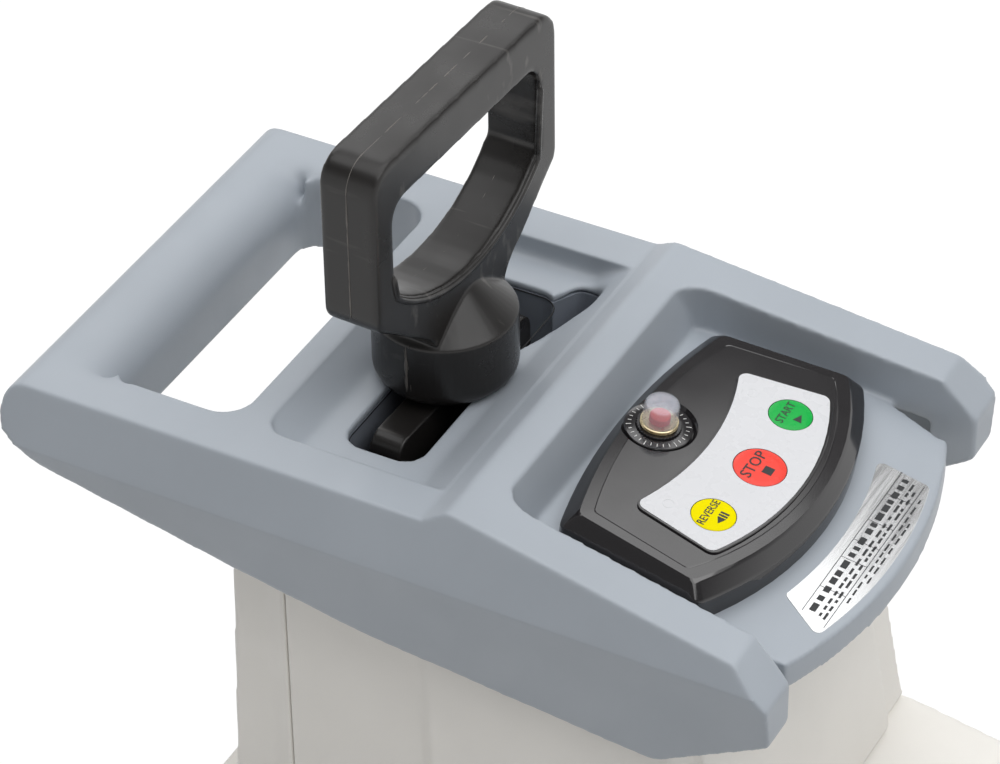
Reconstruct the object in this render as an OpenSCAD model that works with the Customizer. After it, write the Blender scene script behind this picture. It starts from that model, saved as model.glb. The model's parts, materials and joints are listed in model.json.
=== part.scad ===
// Quiet roller garden shredder: a feed head with its pusher on a tower, a geared
// cutting roller in the lower housing, and a wheeled base that holds the collection box.
// Millimetres, +Z up, the control panel faces -Y, origin on the ground under the middle.

/* [Head] */
// Distance of the cross ridge behind the middle of the footprint
head_y = 20; // [14:1:26]
// Width of the cover across the ridge
ridge_w = 220; // [216:1:232]
// Outward lean of the upper flanks for each mm of drop
flank_lean = 0.385; // [0.33:0.005:0.45]
// Drop from the ridge to the crease where the flanks turn in
crease_drop = 34; // [30:1:40]
// Inward lean of the lower flanks for each mm of drop
flank_tuck = 0.175; // [0.1:0.005:0.2]
// Wall thickness of the cover
cover_wall = 4; // [3:0.5:5]
// Drop from the ridge to the two rear rails
rail_drop = 6.6; // [4:0.2:9]
// Reach of the carry bar behind the ridge
bar_back = 225; // [215:1:240]
// Depth of the carry bar from front to back
bar_d = 40; // [34:1:50]
// Height of the carry bar's section
bar_h = 36; // [30:1:42]
// Radius of the carry bar's edge at the hand gap
bar_round = 20; // [8:1:24]
// Front edge of the hand gap behind the ridge
gap_y = 117.5; // [116:0.5:124]
// Width of each rail beside the hand gap
rail_w = 21; // [18:0.5:30]
// Corner radius of the hand gap
gap_r = 15; // [8:1:20]
// Reach of the wings in front of the ridge
wing_len = 158; // [152:1:162]
// Drop of the wing tops at their front ends
wing_drop = 22.3; // [18:0.5:26]
// Length of the chamfer at the front end of each wing
wing_chamfer = 17; // [10:1:24]
// Width of each wing's top at its front end
wing_w = 13; // [10:0.5:16]
// Reach of the nose in front of the ridge
nose_len = 166; // [160:1:174]
// Radius of the nose's front edge seen from above
nose_r = 231; // [210:1:280]
// Height of the nose's front edge
nose_h = 14; // [10:1:20]

/* [Hopper] */
// Width of the cover beside the hopper pocket
pocket_edge = 20; // [18:0.5:24]
// Back edge of the hopper pocket behind the ridge
pocket_back = 104; // [98:1:108]
// Depth of the pocket floor below the ridge
pocket_drop = 18; // [15:0.5:22]
// Width of the feed slot
slot_w = 139; // [132:1:144]
// Depth of the feed slot from front to back
slot_d = 38; // [34:1:42]
// Middle of the feed slot behind the ridge
slot_y = 57.5; // [55:0.5:60]
// Corner radius of the feed slot
slot_r = 10; // [6:1:14]
// Wall thickness of the feed chute
chute_wall = 2.5; // [2:0.5:4]

/* [Control panel] */
// Forward slope of the panel in degrees
panel_tilt = 7.83; // [6:0.1:9]
// Depth of the overlay's plane below the ridge, carried back to the ridge
panel_drop = 5.3; // [3:0.1:8]
// Height of the overlay above the deck of the cover
panel_h = 19; // [17:0.5:21]
// Gap between the panel's back corners and the wings
panel_back_gap = 11; // [8:0.5:16]
// Gap between the panel's front corners and the wing ends
panel_front_gap = 12; // [8:0.5:16]
// Width of the bevel round the panel's top
panel_bevel = 4.5; // [3:0.5:6]
// Wall thickness of the panel
panel_wall = 4; // [3:0.5:5]
// Thickness of the printed overlay
overlay_t = 0.6; // [0.4:0.1:1.2]
// Radius of the start and reverse buttons
side_button_r = 9.9; // [8:0.1:12]
// Radius of the stop button
stop_button_r = 11.9; // [9:0.1:14]
// Distance of the side buttons from the middle
side_button_x = 38.9; // [34:0.1:42]
// Travel of each button
button_travel = 1; // [0.6:0.1:1.6]
// Radius of the clear boot on the overload button
boot_r = 8; // [7:0.25:9]
// Height of the clear boot above the overlay
boot_h = 12; // [11:0.5:16]
// Travel of the overload button when it trips
trip_travel = 4; // [2:0.5:5]

/* [Pusher] */
// Middle of the pusher behind the ridge
pusher_y = 60; // [58:0.5:62]
// Turn of the pusher in its loose slot, in degrees
pusher_turn = -2.3; // [-3:0.1:3]
// Sideways place of the pusher in its loose slot
pusher_x = -1.8; // [-2:0.1:2]
// Diameter of the round boss
boss_d = 67; // [60:1:74]
// Height of the round boss
boss_h = 34; // [28:1:40]
// Rise of the cone on top of the boss
boss_cone = 22; // [10:1:24]
// Height of the grip's top above the ridge
grip_top = 138; // [128:1:150]
// Width of the grip
grip_w = 152; // [142:1:160]
// Thickness of the grip from front to back
grip_t = 28; // [24:1:32]
// Width of the grip's side bars
grip_side = 15; // [12:0.5:18]
// Height of the grip's top bar
grip_bar = 23; // [20:1:28]
// Width of the paddle
paddle_w = 116; // [100:2:120]
// Thickness of the paddle
paddle_t = 16; // [12:1:18]
// Length of the paddle below the pocket floor
paddle_len = 130; // [100:5:150]

/* [Tower] */
// Height of the tower between the lower housing and the cover
tower_h = 173; // [140:1:220]
// Depth of the tower's top below the ridge
tower_top = 55; // [52:1:62]
// Gap between the tower and the inside of the cover
tower_gap = 3; // [2:0.5:6]
// Outward lean of the tower's flanks for each mm of drop
tower_lean = 0.03; // [0:0.005:0.04]
// Sideways step between the front and rear parts of the tower
tower_step = 4; // [2:0.5:6]
// Reach of the tower's top in front of the ridge
tower_front = 100; // [92:1:104]
// Forward lean of the tower's front for each mm of drop
front_lean = 0.18; // [0.1:0.01:0.2]
// Backward lean of the tower's back for each mm of drop
back_lean = 0.04; // [0:0.01:0.1]
// Place of the seam between tower and rear cover behind the ridge
seam_y = 92; // [86:1:98]
// Wall thickness of the tower and the lower housing
shell_wall = 3.5; // [2.5:0.5:4.5]

/* [Lower housing] */
// Gap between the gearbox and the roof of the lower housing
roof_gap = 7.5; // [4:0.5:30]
// Half-width of the lower housing at its top
housing_hw = 111; // [110:0.5:116]
// Reach of the skirt past the legs
skirt_over = 4; // [1:0.5:12]
// Gap between the motor and the front of the lower housing
motor_gap = 6.6; // [3:0.1:20]
// Reach of the collection box in front of the skirt
box_proud = 3; // [2:0.5:8]
// Reach of the lower housing behind the rear panel
back_over = 18; // [14:1:30]
// Thickness of the chassis plate
chassis_t = 4; // [3:0.5:5]

/* [Base] */
// Thickness of each leg panel
leg_t = 14; // [10:1:16]
// Gap between the collection box and each leg
box_side_gap = 3; // [1:0.5:8]
// Height of the rubber feet
foot_h = 14; // [10:1:18]
// Diameter of a wheel
wheel_d = 160; // [140:2:164]
// Width of a wheel
wheel_w = 38; // [30:1:44]
// Diameter of the wheel axle
axle_d = 16; // [12:1:20]
// Place of the axle behind the rear panel
axle_back = 21; // [16:1:30]

/* [Collection box] */
// Width of the collection box
box_w = 346; // [320:1:380]
// Front of the collection box
box_front = 228; // [220:1:240]
// Back of the collection box
box_back = 130; // [120:1:150]
// Height of the collection box
box_h = 392; // [340:2:440]
// Gap between the collection box and the chassis plate
box_headroom = 8.7; // [4:0.1:20]
// Wall thickness of the collection box
box_wall = 3; // [2:0.5:5]
// Reach of the grip lip in front of the box
lip_reach = 17; // [14:1:22]
// Sideways travel of the box lock
lock_travel = 20; // [18:1:22]

/* [Cutter and drive] */
// Radius of the cutting roller over its teeth
roller_r = 44; // [38:1:46]
// Depth of the roller's teeth
tooth_depth = 9; // [6:0.5:11]
// Number of teeth round the roller
roller_teeth = 8; // [6:1:10]
// Diameter of the roller shaft
roller_shaft_d = 25; // [20:1:28]
// Gap between the gearbox and the chassis plate
case_lift = 2; // [1:0.5:10]
// Place of the roller axis behind the middle
roller_y = 34; // [32:1:35]
// Least distance of the pressure plate from the roller
roller_gap = 0.8; // [0.5:0.1:2]
// Travel of the pressure plate
plate_travel = 3; // [2:0.25:3]
// Diameter of the adjuster screw
screw_d = 10; // [8:0.5:12]
// Diameter of the adjuster knob
knob_d = 46; // [36:1:56]
// Radius of the motor housing
motor_r = 50; // [44:1:52]
// Diameter of the motor shaft
motor_shaft_d = 12; // [10:0.5:13]
// Number of teeth on every driving pinion
pinion_teeth = 12; // [12:1:13]
// Number of teeth on the first gear's wheel
first_teeth = 54; // [50:1:54]
// Number of teeth on the second gear's wheel
second_teeth = 48; // [44:1:48]
// Number of teeth on the output gear
output_teeth = 45; // [42:1:45]
// Tooth module of the motor stage
first_module = 1.25; // [1.15:0.05:1.25]
// Tooth module of the middle stage
second_module = 1.75; // [1.65:0.05:1.75]
// Tooth module of the output stage
output_module = 2.5; // [2.4:0.05:2.5]

/* [Fits] */
// Clearance between pieces that slide past each other
slide_fit = 0.3; // [0.2:0.05:0.5]
// Radial clearance of a turning shaft
run_fit = 0.05; // [0.02:0.01:0.1]
// Radial clearance of a seated bearing or pin
seat_fit = 0.02; // [0.01:0.01:0.05]

/* [Hidden] */
$fn = 64;

// Colours of the finishes
blue_grey = [0.56, 0.60, 0.66];
light_grey = [0.80, 0.79, 0.76];
black = [0.08, 0.08, 0.09];
dark_grey = [0.17, 0.18, 0.19];
steel = [0.70, 0.71, 0.73];
cast = [0.62, 0.63, 0.64];
brass = [0.80, 0.66, 0.34];
red = [0.86, 0.16, 0.13];
green = [0.10, 0.65, 0.28];
yellow = [0.95, 0.86, 0.10];

// A cut runs this far past the face that it opens
over = 1;
// Any size that has to reach past the whole head
far = 400;

// Head, measured from the ridge
ridge_hw = ridge_w / 2;
wing_gap = ridge_w - 2 * wing_w;
gap_w = ridge_w - 2 * rail_w;
pocket_w = ridge_w - 2 * pocket_edge;
pocket_front = 3;
pocket_r = 12;
crease_hw = ridge_hw + flank_lean * crease_drop;
skirt_drop = 100;
hem_hw = crease_hw - flank_tuck * (skirt_drop - crease_drop);
jog_y = 11;
bar_corner = 10;
wing_end_drop = 63;
wing_chin_drop = wing_drop + wing_chamfer + 1;
deck_drop = panel_drop + panel_h / cos(panel_tilt);
wall_y = 14.5;
wall_run = 7;
nose_back_y = tower_front - 6;
nose_side_y = 103;
nose_end_y = 146;
nose_end_hw = 85;
recess_back_hw = ridge_hw - 22;
recess_r = 16;
cavity_hw = hem_hw - cover_wall - 1.5;
cavity_back = gap_y - cover_wall;
cavity_front = nose_len - 30;
wing_foot = 57;
hem_low_y = -27;
hem_low_drop = 91;
hem_mid_y = 42;
hem_mid_drop = 82.7;
hem_gap_back = 8;
hem_gap_drop = 67.5;
tower_hw = cavity_hw - tower_gap;
post_x = tower_hw - 13;
post_r = 6;
post_ys = [72, -62];
ceiling_drop = pocket_drop + cover_wall;
wing_core_x = wing_gap / 2 + cover_wall + 1;
core_wall = cover_wall + 0.5;

// Feed opening: finger lobe on the right, in front of the slot
lobe_x = slot_w / 2 + 3;
lobe_y = slot_y - slot_d / 2 - 10;
lobe_r = 8.5;
mouth_h = 28;
mouth_lip = 6;

// Control panel, in its own sloping frame
panel_back_hw = recess_back_hw - panel_back_gap;
panel_front_hw = wing_gap / 2 - panel_front_gap;
panel_back_y = 38;
panel_back_bow = 9.5;
panel_front_y = 109.5;
panel_front_bow = 22.7;
panel_r = 6;
bevel_h = 8;
stop_y = 97;
side_button_y = 93.4;
breaker_seat_depth = 3;
button_depth = panel_wall + breaker_seat_depth - button_travel;
button_proud = 0.3;
breaker_y = 47;
breaker_seat_r = 18;
breaker_neck_r = 5.5;
breaker_bore_r = breaker_neck_r + slide_fit;
breaker_body_r = 9.5;
breaker_body_len = 40;
ring_t = 2;
knurl_r = 10.5;
knurl_h = 1.5;
nut_h = 2;
nut_r = boot_r + 0.5;
boot_t = 0.8;
trip_button_r = 4.8;
ring_z = -overlay_t - breaker_seat_depth;
knurl_z = ring_z + ring_t;
nut_z = knurl_z + knurl_h;
boot_z = nut_z + nut_h;
trip_z = nut_z + 1.5;
boot_headroom = 2;
trip_button_h = boot_h - boot_t - boot_headroom - trip_travel - trip_z;
board_t = 1.6;
board_drop = 14;
board_y = 91;
board_hw = 53;
board_hd = 22;
overlay_inset = 25;
overlay_back_y = 61.5;
overlay_back_bow = 10.3;
overlay_front_y = 103;
overlay_front_bow = 14.5;
overlay_r = 4;
plate_t = 0.5;
plate_band = 25.3;
plate_inset = 4.2;
plate_half_angle = 14.6;
plate_skew = 1.2;

// Pusher, measured from the ridge along its own axis
boss_z = -pocket_drop + slide_fit;
boss_tip_r = 9;
boss_top = boss_z + boss_h;
boss_edge_r = 8;
boss_seat_r = boss_d / 2 - 0.7 * boss_edge_r + slide_fit;
grip_corner = 13;
grip_side_end = 57;
grip_hole_sag = 25.5;
grip_hole_h = 45;
web_hw = 27;
paddle_y = slot_y - pusher_y;
paddle_top = boss_z - 2;

// Tower
tower_back = cavity_back - 1;
step_y = 22;
step_run = 12;
back_ledge = 8;
ledge_drop = hem_gap_drop + 3.5;
strip_set = 4;
strip_hw = 84;
roof_t = 4;

// Drive stack, from the wall of the lower housing inwards
gear_gap = 2;
first_w = 8;
second_w = 10;
output_w = 14;
case_wall = 4;
case_t = 4;
case_screw_h = 3;
drive_gap = 2.5;
addendum = 0.9;
cover_x = housing_hw - shell_wall - drive_gap - case_screw_h - case_t;
output_x = cover_x - gear_gap - output_w;
second_x = output_x - gear_gap - second_w;
first_x = second_x - gear_gap - first_w;
case_x = first_x - gear_gap - case_wall;
case_hw = output_module * (output_teeth / 2 + addendum) + 2.5;

// Heights of the stack
runner_t = 6;
runner_z = foot_h + 4;
box_z = runner_z + runner_t + slide_fit;
chassis_z = box_z + box_h + box_headroom + chassis_t;
roller_z = chassis_z + case_lift + case_wall + case_hw;
shoulder_z = roller_z + case_hw + case_wall + roof_gap + shell_wall;
tower_z = shoulder_z + tower_h;
head_z = tower_z + tower_top;

// Lower housing and base
leg_gap = box_w + 2 * box_side_gap;
leg_x = leg_gap / 2;
skirt_hw = leg_x + leg_t + skirt_over;
skirt_front = box_front - box_proud;
rear_panel_y = box_back + 8;
rear_panel_t = 4;
housing_back = rear_panel_y + rear_panel_t + back_over;
axle_y = rear_panel_y + rear_panel_t + axle_back;
nose_slope_y = 103;
shoulder_front_z = shoulder_z - 15;
waist_z = shoulder_z - 42;
skirt_top_z = chassis_z + 26;
skirt_r = 14;
deck_x0 = -62;
deck_x1 = case_x - 2;
chassis_bottom = chassis_z - chassis_t;
chassis_inset = 0.5;
leg_front = skirt_front - 5;
leg_back = rear_panel_y + 12;
relief_edge = 20;
relief_depth = 2.5;
runner_w = 13 + box_side_gap;
box_hw = box_w / 2;
wheel_r = wheel_d / 2;
washer_t = 5;
wheel_x = leg_x + leg_t + washer_t + 2 * slide_fit;
hub_r = 26;
cap_t = 3;
axle_end = wheel_x + wheel_w - cap_t;
foot_r = 16;
foot_y = 20 - leg_front;

brace_d = 26;
brace_y = 8 - leg_front;
brace_lap = 4;
brace_top = 3;

// Box front: notch for the lock, pocket and lip for the fingers
notch_hw = 13;
notch_h = 20;
tongue_hw = 9;
tongue_t = 4;
lip_drop = 64.3;
lip_z = box_z + box_h - lip_drop;
lip_end = 8;
grip_wall = 3;
lip_w = 130;
lip_h = 30;
pocket_depth = 18;
groove_count = 5;
groove_base = 40;
groove_pitch = 46;
groove_w = 6;
groove_depth = 1.4;
groove_inset = 24;
lock_y = skirt_front + slide_fit;
lock_face_t = 8;
lock_hw = 17;
lock_z = chassis_z + 4;
lock_h = 18;
stem_z = lock_z + 5;
stem_h = 7;
switch_x = tongue_hw + lock_travel + 8;
plunger_len = 5;
plunger_r = 1.8;

// Drive train, with shafts along X
boss_t = 4;
roller_x0 = deck_x0 + 2;
roller_x1 = case_x - boss_t - 2;
side_plate_t = 8;
side_plate_x = deck_x0 - side_plate_t;
pressure_angle = 25;
dedendum = 1.2;
backlash = 0.2;
chain_1 = 170;
chain_2 = 192;
chain_3 = 192;
output_c = [roller_y, roller_z];
second_c = output_c + pair(pinion_teeth, output_teeth, output_module) * dir(chain_1);
first_c = second_c + pair(pinion_teeth, second_teeth, second_module) * dir(chain_2);
motor_c = first_c + pair(pinion_teeth, first_teeth, first_module) * dir(chain_3);
housing_front = motor_r - motor_c[0] + motor_gap + shell_wall;
output_phase = 0;
second_pinion_phase = mesh(output_teeth, output_phase, chain_1, pinion_teeth);
second_phase = 0;
first_pinion_phase = mesh(second_teeth, second_phase, chain_2, pinion_teeth);
first_phase = 0;
motor_phase = mesh(first_teeth, first_phase, chain_3, pinion_teeth);
first_pin_r = 4;
second_pin_r = 6;
pinion_bore_r = first_module * (pinion_teeth / 2 - dedendum) - 1.6;
end_cap_t = 10;
end_cap_gap = 11.5;
motor_x0 = end_cap_t + end_cap_gap + shell_wall - housing_hw;
motor_wall = 4;
bearing_w = 8;
motor_bearing_r = 15;
roller_bearing_r = 23;
bearing_wall = 4;
rotor_r = 24;
air_gap = 0.7;
stack_x0 = motor_x0 + 45;
stack_len = 60;
fan_x = motor_x0 + 14;
fan_w = 18;
adjuster_x = -5;
adjuster_z = roller_z + 6;
plate_thick = 13;
plate_y = roller_y + roller_r + roller_gap + plate_travel;
deck_y0 = roller_y - roller_r - 5;
deck_y1 = plate_y + plate_thick + 5;
plate_h = 66;
plate_z = roller_z - 26;
screw_tip = 5;
bush_t = 3;

// Screws of the cover
screw_r = 2;
screw_len = 16;
screw_head_r = 4;
screw_head_h = 3;
// Posts that hold the control board
board_post_xs = [-48, 48];
board_post_ys = [-74, -108];
// Cooling slots over the motor
vent_pitch = 12;
vent_count = 7;
vent_w = 5;
vent_h = 36;
// Wheel spokes
spoke_count = 6;
// Capacitor and mains inlet
capacitor_r = 17;
capacitor_x = 44 - skirt_hw;
capacitor_y0 = -60;
capacitor_len = 80;
clip_w = 8;
clip_over = 5;
inlet_x = 66;
inlet_z = chassis_z + 41;
inlet_hw = 24;
inlet_h = 40;
inlet_reach = 18;
// Gearbox outline
case_foot = output_c[1] - chassis_z - case_wall;
case_nose = 14;
case_screw_in = 13;
case_screw_at = [
    [output_c[0] + case_hw - case_screw_in, output_c[1] + case_hw - case_screw_in],
    [output_c[0] + case_hw - case_screw_in, output_c[1] - case_foot + case_screw_in],
    [motor_c[0] - case_nose + case_screw_in, motor_c[1] + 44 - case_screw_in]];

// Distance between the axes of two meshed gears
function pair(a, b, m) = (a + b) * m / 2;
// Unit vector at an angle
function dir(a) = [cos(a), sin(a)];
// Phase of a gear of n teeth that meshes, in direction a, with a gear of k teeth at phase p
function mesh(k, p, a, n) = a + 180 - (180 - k * (a - p)) / n;
function unit(v) = v / norm(v);
// Arc that rounds the corner b between a and c
function corner(a, b, c, r, n) = r == 0 ? [b] :
    let (u = unit(a - b), w = unit(c - b), half = acos(u * w) / 2)
    let (m = b + unit(u + w) * r / sin(half))
    let (s = b + u * r / tan(half) - m, e = b + w * r / tan(half) - m)
    let (start = atan2(s.y, s.x), turn = atan2(s.x * e.y - s.y * e.x, s * e))
    [for (i = [0:n]) m + r * dir(start + turn * i / n)];
function flat(p) = [p[0], p[1]];
// Outline through points [x, y, corner radius]
function rounded(p, n = 6) = let (k = len(p))
    [for (i = [0:k - 1])
        each corner(flat(p[(i + k - 1) % k]), flat(p[i]), flat(p[(i + 1) % k]), p[i][2], n)];
// Points of an arc across the middle, from its ends at +-hw to its crown
function bow(hw, y_end, y_mid, n = 12) =
    let (s = y_mid - y_end, r = (hw * hw + s * s) / (2 * abs(s)), y0 = y_mid - sign(s) * r)
    [for (i = [0:n]) let (x = hw * (2 * i / n - 1)) [x, y0 + sign(s) * sqrt(r * r - x * x)]];
// Closed outline between a back arc and a front arc, with rounded ends
function band(back, front, r) = let (k = len(back) - 1, m = len(front) - 1)
    rounded(concat(
        [for (i = [0:k]) [back[i].x, back[i].y, i == 0 || i == k ? r : 0]],
        [for (i = [m:-1:0]) [front[i].x, front[i].y, i == 0 || i == m ? r : 0]]), 4);
// Half angle of an involute tooth at radius r
function involute(a) = tan(a) * 180 / PI - a;
function tooth_half(n, m, r) = let (pitch_r = n * m / 2, base_r = pitch_r * cos(pressure_angle))
    90 / n - backlash / 2 / pitch_r * 180 / PI + involute(pressure_angle)
    - involute(acos(min(1, base_r / r)));
function gear_points(n, m, phase, steps = 3) =
    let (pitch_r = n * m / 2, base_r = pitch_r * cos(pressure_angle))
    let (tip_r = pitch_r + addendum * m, root_r = pitch_r - dedendum * m)
    let (flank_r = max(base_r, root_r))
    [for (i = [0:n - 1]) let (a = phase + 360 * i / n) each concat(
        [root_r * dir(a - tooth_half(n, m, flank_r))],
        [for (k = [0:steps]) let (r = flank_r + (tip_r - flank_r) * k / steps)
            r * dir(a - tooth_half(n, m, r))],
        [for (k = [steps:-1:0]) let (r = flank_r + (tip_r - flank_r) * k / steps)
            r * dir(a + tooth_half(n, m, r))],
        [root_r * dir(a + tooth_half(n, m, flank_r))])];

// Places children in the head's frame, with the ridge at the origin
module head() {
    translate([0, head_y, head_z]) children();
}
// Places children in the panel's frame, with the overlay's top face at zero height
module panel() {
    head() translate([0, 0, -panel_drop]) rotate([panel_tilt, 0, 0]) children();
}
// Places children in the pusher's frame
module pusher_frame() {
    head() translate([pusher_x, pusher_y, 0]) rotate([0, 0, pusher_turn]) children();
}
// Side view outline, extruded across the machine from x0 to x1
module side_solid(points, x0, x1) {
    translate([x0, 0, 0]) rotate([90, 0, 90]) linear_extrude(x1 - x0) polygon(points);
}
// Front view outline, extruded from y0 to y1
module front_solid(points, y0, y1) {
    translate([0, y1, 0]) rotate([90, 0, 0]) linear_extrude(y1 - y0) polygon(points);
}
// Box given by its lowest and highest corner
module block(low, high) {
    translate(low) cube(high - low);
}
// Round bar along X at a place [y, z]
module bar_x(place, r, x0, x1) {
    translate([x0, place[0], place[1]]) rotate([0, 90, 0]) cylinder(r = r, h = x1 - x0);
}
// Round bar along Y at a place [x, z]
module bar_y(place, r, y0, y1) {
    translate([place[0], y1, place[1]]) rotate([90, 0, 0]) cylinder(r = r, h = y1 - y0);
}
// Gear along X at a place [y, z]
module gear(place, n, m, phase, x0, w) {
    translate([0, place[0], place[1]]) side_solid(gear_points(n, m, phase), x0, x0 + w);
}

// Height of the deck's plane at a distance behind the ridge
function deck_at(y) = -deck_drop + y * tan(panel_tilt);
// Half-width of the recess between the wings at a distance behind the ridge
function recess_at(y) = recess_back_hw
    + (wing_gap / 2 - recess_back_hw) * (-wall_y - y) / (wing_len - wing_chamfer - wall_y);

module cover_section() {
    front_solid([
        [-ridge_hw + flank_lean * over * 10, over * 10], [-crease_hw, -crease_drop],
        [-hem_hw, -skirt_drop], [-hem_hw, -skirt_drop - over * 10],
        [hem_hw, -skirt_drop - over * 10], [hem_hw, -skirt_drop],
        [crease_hw, -crease_drop], [ridge_hw - flank_lean * over * 10, over * 10]], -far, far);
}
module cover_side() {
    hem_back = bar_back - 20;
    side_solid(rounded([
        [bar_back, -rail_drop, 12], [jog_y, -rail_drop, 4], [0, 0, 6],
        [-wing_len + wing_chamfer, -wing_drop, 3], [-wing_len, -wing_chin_drop, 3],
        [-wing_len, -wing_end_drop, 5], [wing_foot - wing_len, -skirt_drop, 12],
        [hem_low_y, -hem_low_drop, 0], [hem_mid_y, -hem_mid_drop, 0],
        [gap_y - hem_gap_back, -hem_gap_drop, 0], [hem_back, -rail_drop - bar_h, 6],
        [bar_back, -rail_drop - bar_h * 0.6, 10]]), -far, far);
}
module cover_plan() {
    linear_extrude(far, center = true) polygon(rounded([
        [-crease_hw - over, bar_back + over, bar_corner],
        [crease_hw + over, bar_back + over, bar_corner],
        [crease_hw + over, -wing_len - over, 0], [-crease_hw - over, -wing_len - over, 0]]));
}
module nose() {
    side = wing_gap / 2 + over;
    intersection() {
        translate([0, nose_r - nose_len, 0])
            cylinder(r = nose_r, h = far, center = true, $fn = 180);
        side_solid([
            [-nose_back_y, deck_at(-nose_back_y)], [-far, deck_at(-far)],
            [-far, deck_at(-far) - nose_h], [-nose_back_y, deck_at(-nose_back_y) - nose_h]], -far, far);
        linear_extrude(far, center = true) polygon([
            [-side, 0], [side, 0], [side, -nose_side_y], [nose_end_hw, -nose_end_y],
            [nose_end_hw, -far], [-nose_end_hw, -far], [-nose_end_hw, -nose_end_y],
            [-side, -nose_side_y]]);
    }
}
// Recess over the deck, open below in front of the tower
module recess() {
    intersection() {
        linear_extrude(far, center = true) polygon(rounded([
            [-recess_at(-wall_y), -wall_y, recess_r], [recess_at(-wall_y), -wall_y, recess_r],
            [recess_at(-far), -far, 0], [-recess_at(-far), -far, 0]]));
        side_solid([[-wall_y - wall_run, deck_at(-wall_y - wall_run)],
            [-tower_front, deck_at(-tower_front)], [-tower_front, -far], [-far, -far],
            [-far, far], [far, far], [far, 0], [-wall_y, 0]], -far, far);
    }
}
module hopper_pocket() {
    intersection() {
        linear_extrude(far, center = true) polygon(rounded([
            [-pocket_w / 2, pocket_back, pocket_r], [pocket_w / 2, pocket_back, pocket_r],
            [pocket_w / 2, pocket_front, pocket_r], [-pocket_w / 2, pocket_front, pocket_r]]));
        side_solid([
            [pocket_back + over, far], [pocket_back + over, -rail_drop],
            [pusher_y + boss_seat_r, -pocket_drop], [pusher_y - boss_seat_r - 2, -pocket_drop],
            [pocket_front, -over], [pocket_front, far]], -far, far);
    }
}
// Outline of the feed slot and its finger lobe, grown by m
module mouth(m) {
    half_d = slot_d / 2 + m;
    polygon(rounded([
        [-slot_w / 2 - m, slot_y - half_d, slot_r + m], [slot_w / 2 + m, slot_y - half_d, slot_r + m],
        [slot_w / 2 + m, slot_y + half_d, slot_r + m],
        [-slot_w / 2 - m, slot_y + half_d, slot_r + m]]));
    polygon(rounded([
        [20, slot_y, 0], [20, slot_y - half_d, 0], [44, lobe_y + 3 - m, 9],
        [lobe_x - lobe_r, lobe_y - lobe_r - m, 8],
        [lobe_x + lobe_r + m, lobe_y - lobe_r - m, lobe_r + m],
        [lobe_x + lobe_r + m, lobe_y + 6 + m, 5], [slot_w / 2 - 3 + m, slot_y - 15 + m, 3],
        [slot_w / 2 - 3, slot_y, 0]]));
}
module cover_cavity() {
    side_solid([
        [cavity_back, -far], [cavity_back, -ceiling_drop], [-wall_y + cover_wall, -ceiling_drop],
        [-wall_y + cover_wall, deck_at(-wall_y) - cover_wall],
        [-cavity_front, deck_at(-cavity_front) - cover_wall], [-cavity_front, -far]],
        -cavity_hw, cavity_hw);
    for (s = [-1, 1]) intersection() {
        side_solid([
            [bar_back - bar_d, -far], [bar_back - bar_d, -rail_drop - cover_wall],
            [jog_y, -rail_drop - cover_wall],
            [-wing_len + wing_chamfer + 8, -wing_drop - cover_wall - 1],
            [-wing_len + wing_chamfer + 8, -far]], -far, far);
        front_solid([
            [s * wing_core_x, 0], [s * (ridge_hw - core_wall), 0],
            [s * (crease_hw - core_wall), -crease_drop], [s * (hem_hw - core_wall), -skirt_drop],
            [s * (hem_hw - core_wall), -far], [s * wing_core_x, -far]], -far, far);
    }
}
// Waste over the carry bar's round edge at the hand gap
module bar_round_cut() {
    y = bar_back - bar_d;
    z = -rail_drop - bar_round;
    side_solid(concat(
        [[y - over, far], [y - over, z], [y, z]],
        [for (i = [1:12]) [y + bar_round, z] + bar_round * dir(180 - 90 * i / 12)],
        [[y + bar_round, far]]), -gap_w / 2, gap_w / 2);
}
module posts(r, z0, z1) {
    for (x = [-post_x, post_x], y = post_ys)
        translate([x, y, z0]) cylinder(r = r, h = z1 - z0);
}
// Screw posts, which end inside the ceiling and the deck
module cover_posts() {
    for (x = [-post_x, post_x], y = post_ys) translate([x, y, -tower_top])
        cylinder(r = post_r, h = tower_top + (y > 0 ? over - ceiling_drop : deck_at(y) - cover_wall / 2));
}
module top_cover() {
    color(blue_grey) head() difference() {
        union() {
            difference() {
                intersection() {
                    cover_side();
                    cover_section();
                    cover_plan();
                }
                recess();
                hopper_pocket();
                cover_cavity();
            }
            difference() {
                nose();
                side_solid([[0, -far], [0, deck_at(0) - cover_wall],
                    [-cavity_front, deck_at(-cavity_front) - cover_wall], [-cavity_front, -far]],
                    -cavity_hw, cavity_hw);
            }
            cover_posts();
        }
        linear_extrude(far, center = true) polygon(rounded([
            [-gap_w / 2, gap_y, gap_r], [gap_w / 2, gap_y, gap_r],
            [gap_w / 2, bar_back - bar_d, gap_r], [-gap_w / 2, bar_back - bar_d, gap_r]]));
        bar_round_cut();
        linear_extrude(far, center = true) mouth(0);
        posts(screw_r, -far, -tower_top + screw_len - roof_t + over);
        translate([0, 0, -panel_drop]) rotate([panel_tilt, 0, 0]) translate([0, -breaker_y, -far / 2])
            cylinder(r = breaker_body_r + 2, h = far / 2);
    }
}
module cover_screws() {
    color(steel) head() {
        posts(screw_r - seat_fit, -tower_top - roof_t, -tower_top - roof_t + screw_len);
        posts(screw_head_r, -tower_top - roof_t - screw_head_h, -tower_top - roof_t);
    }
}

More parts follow.
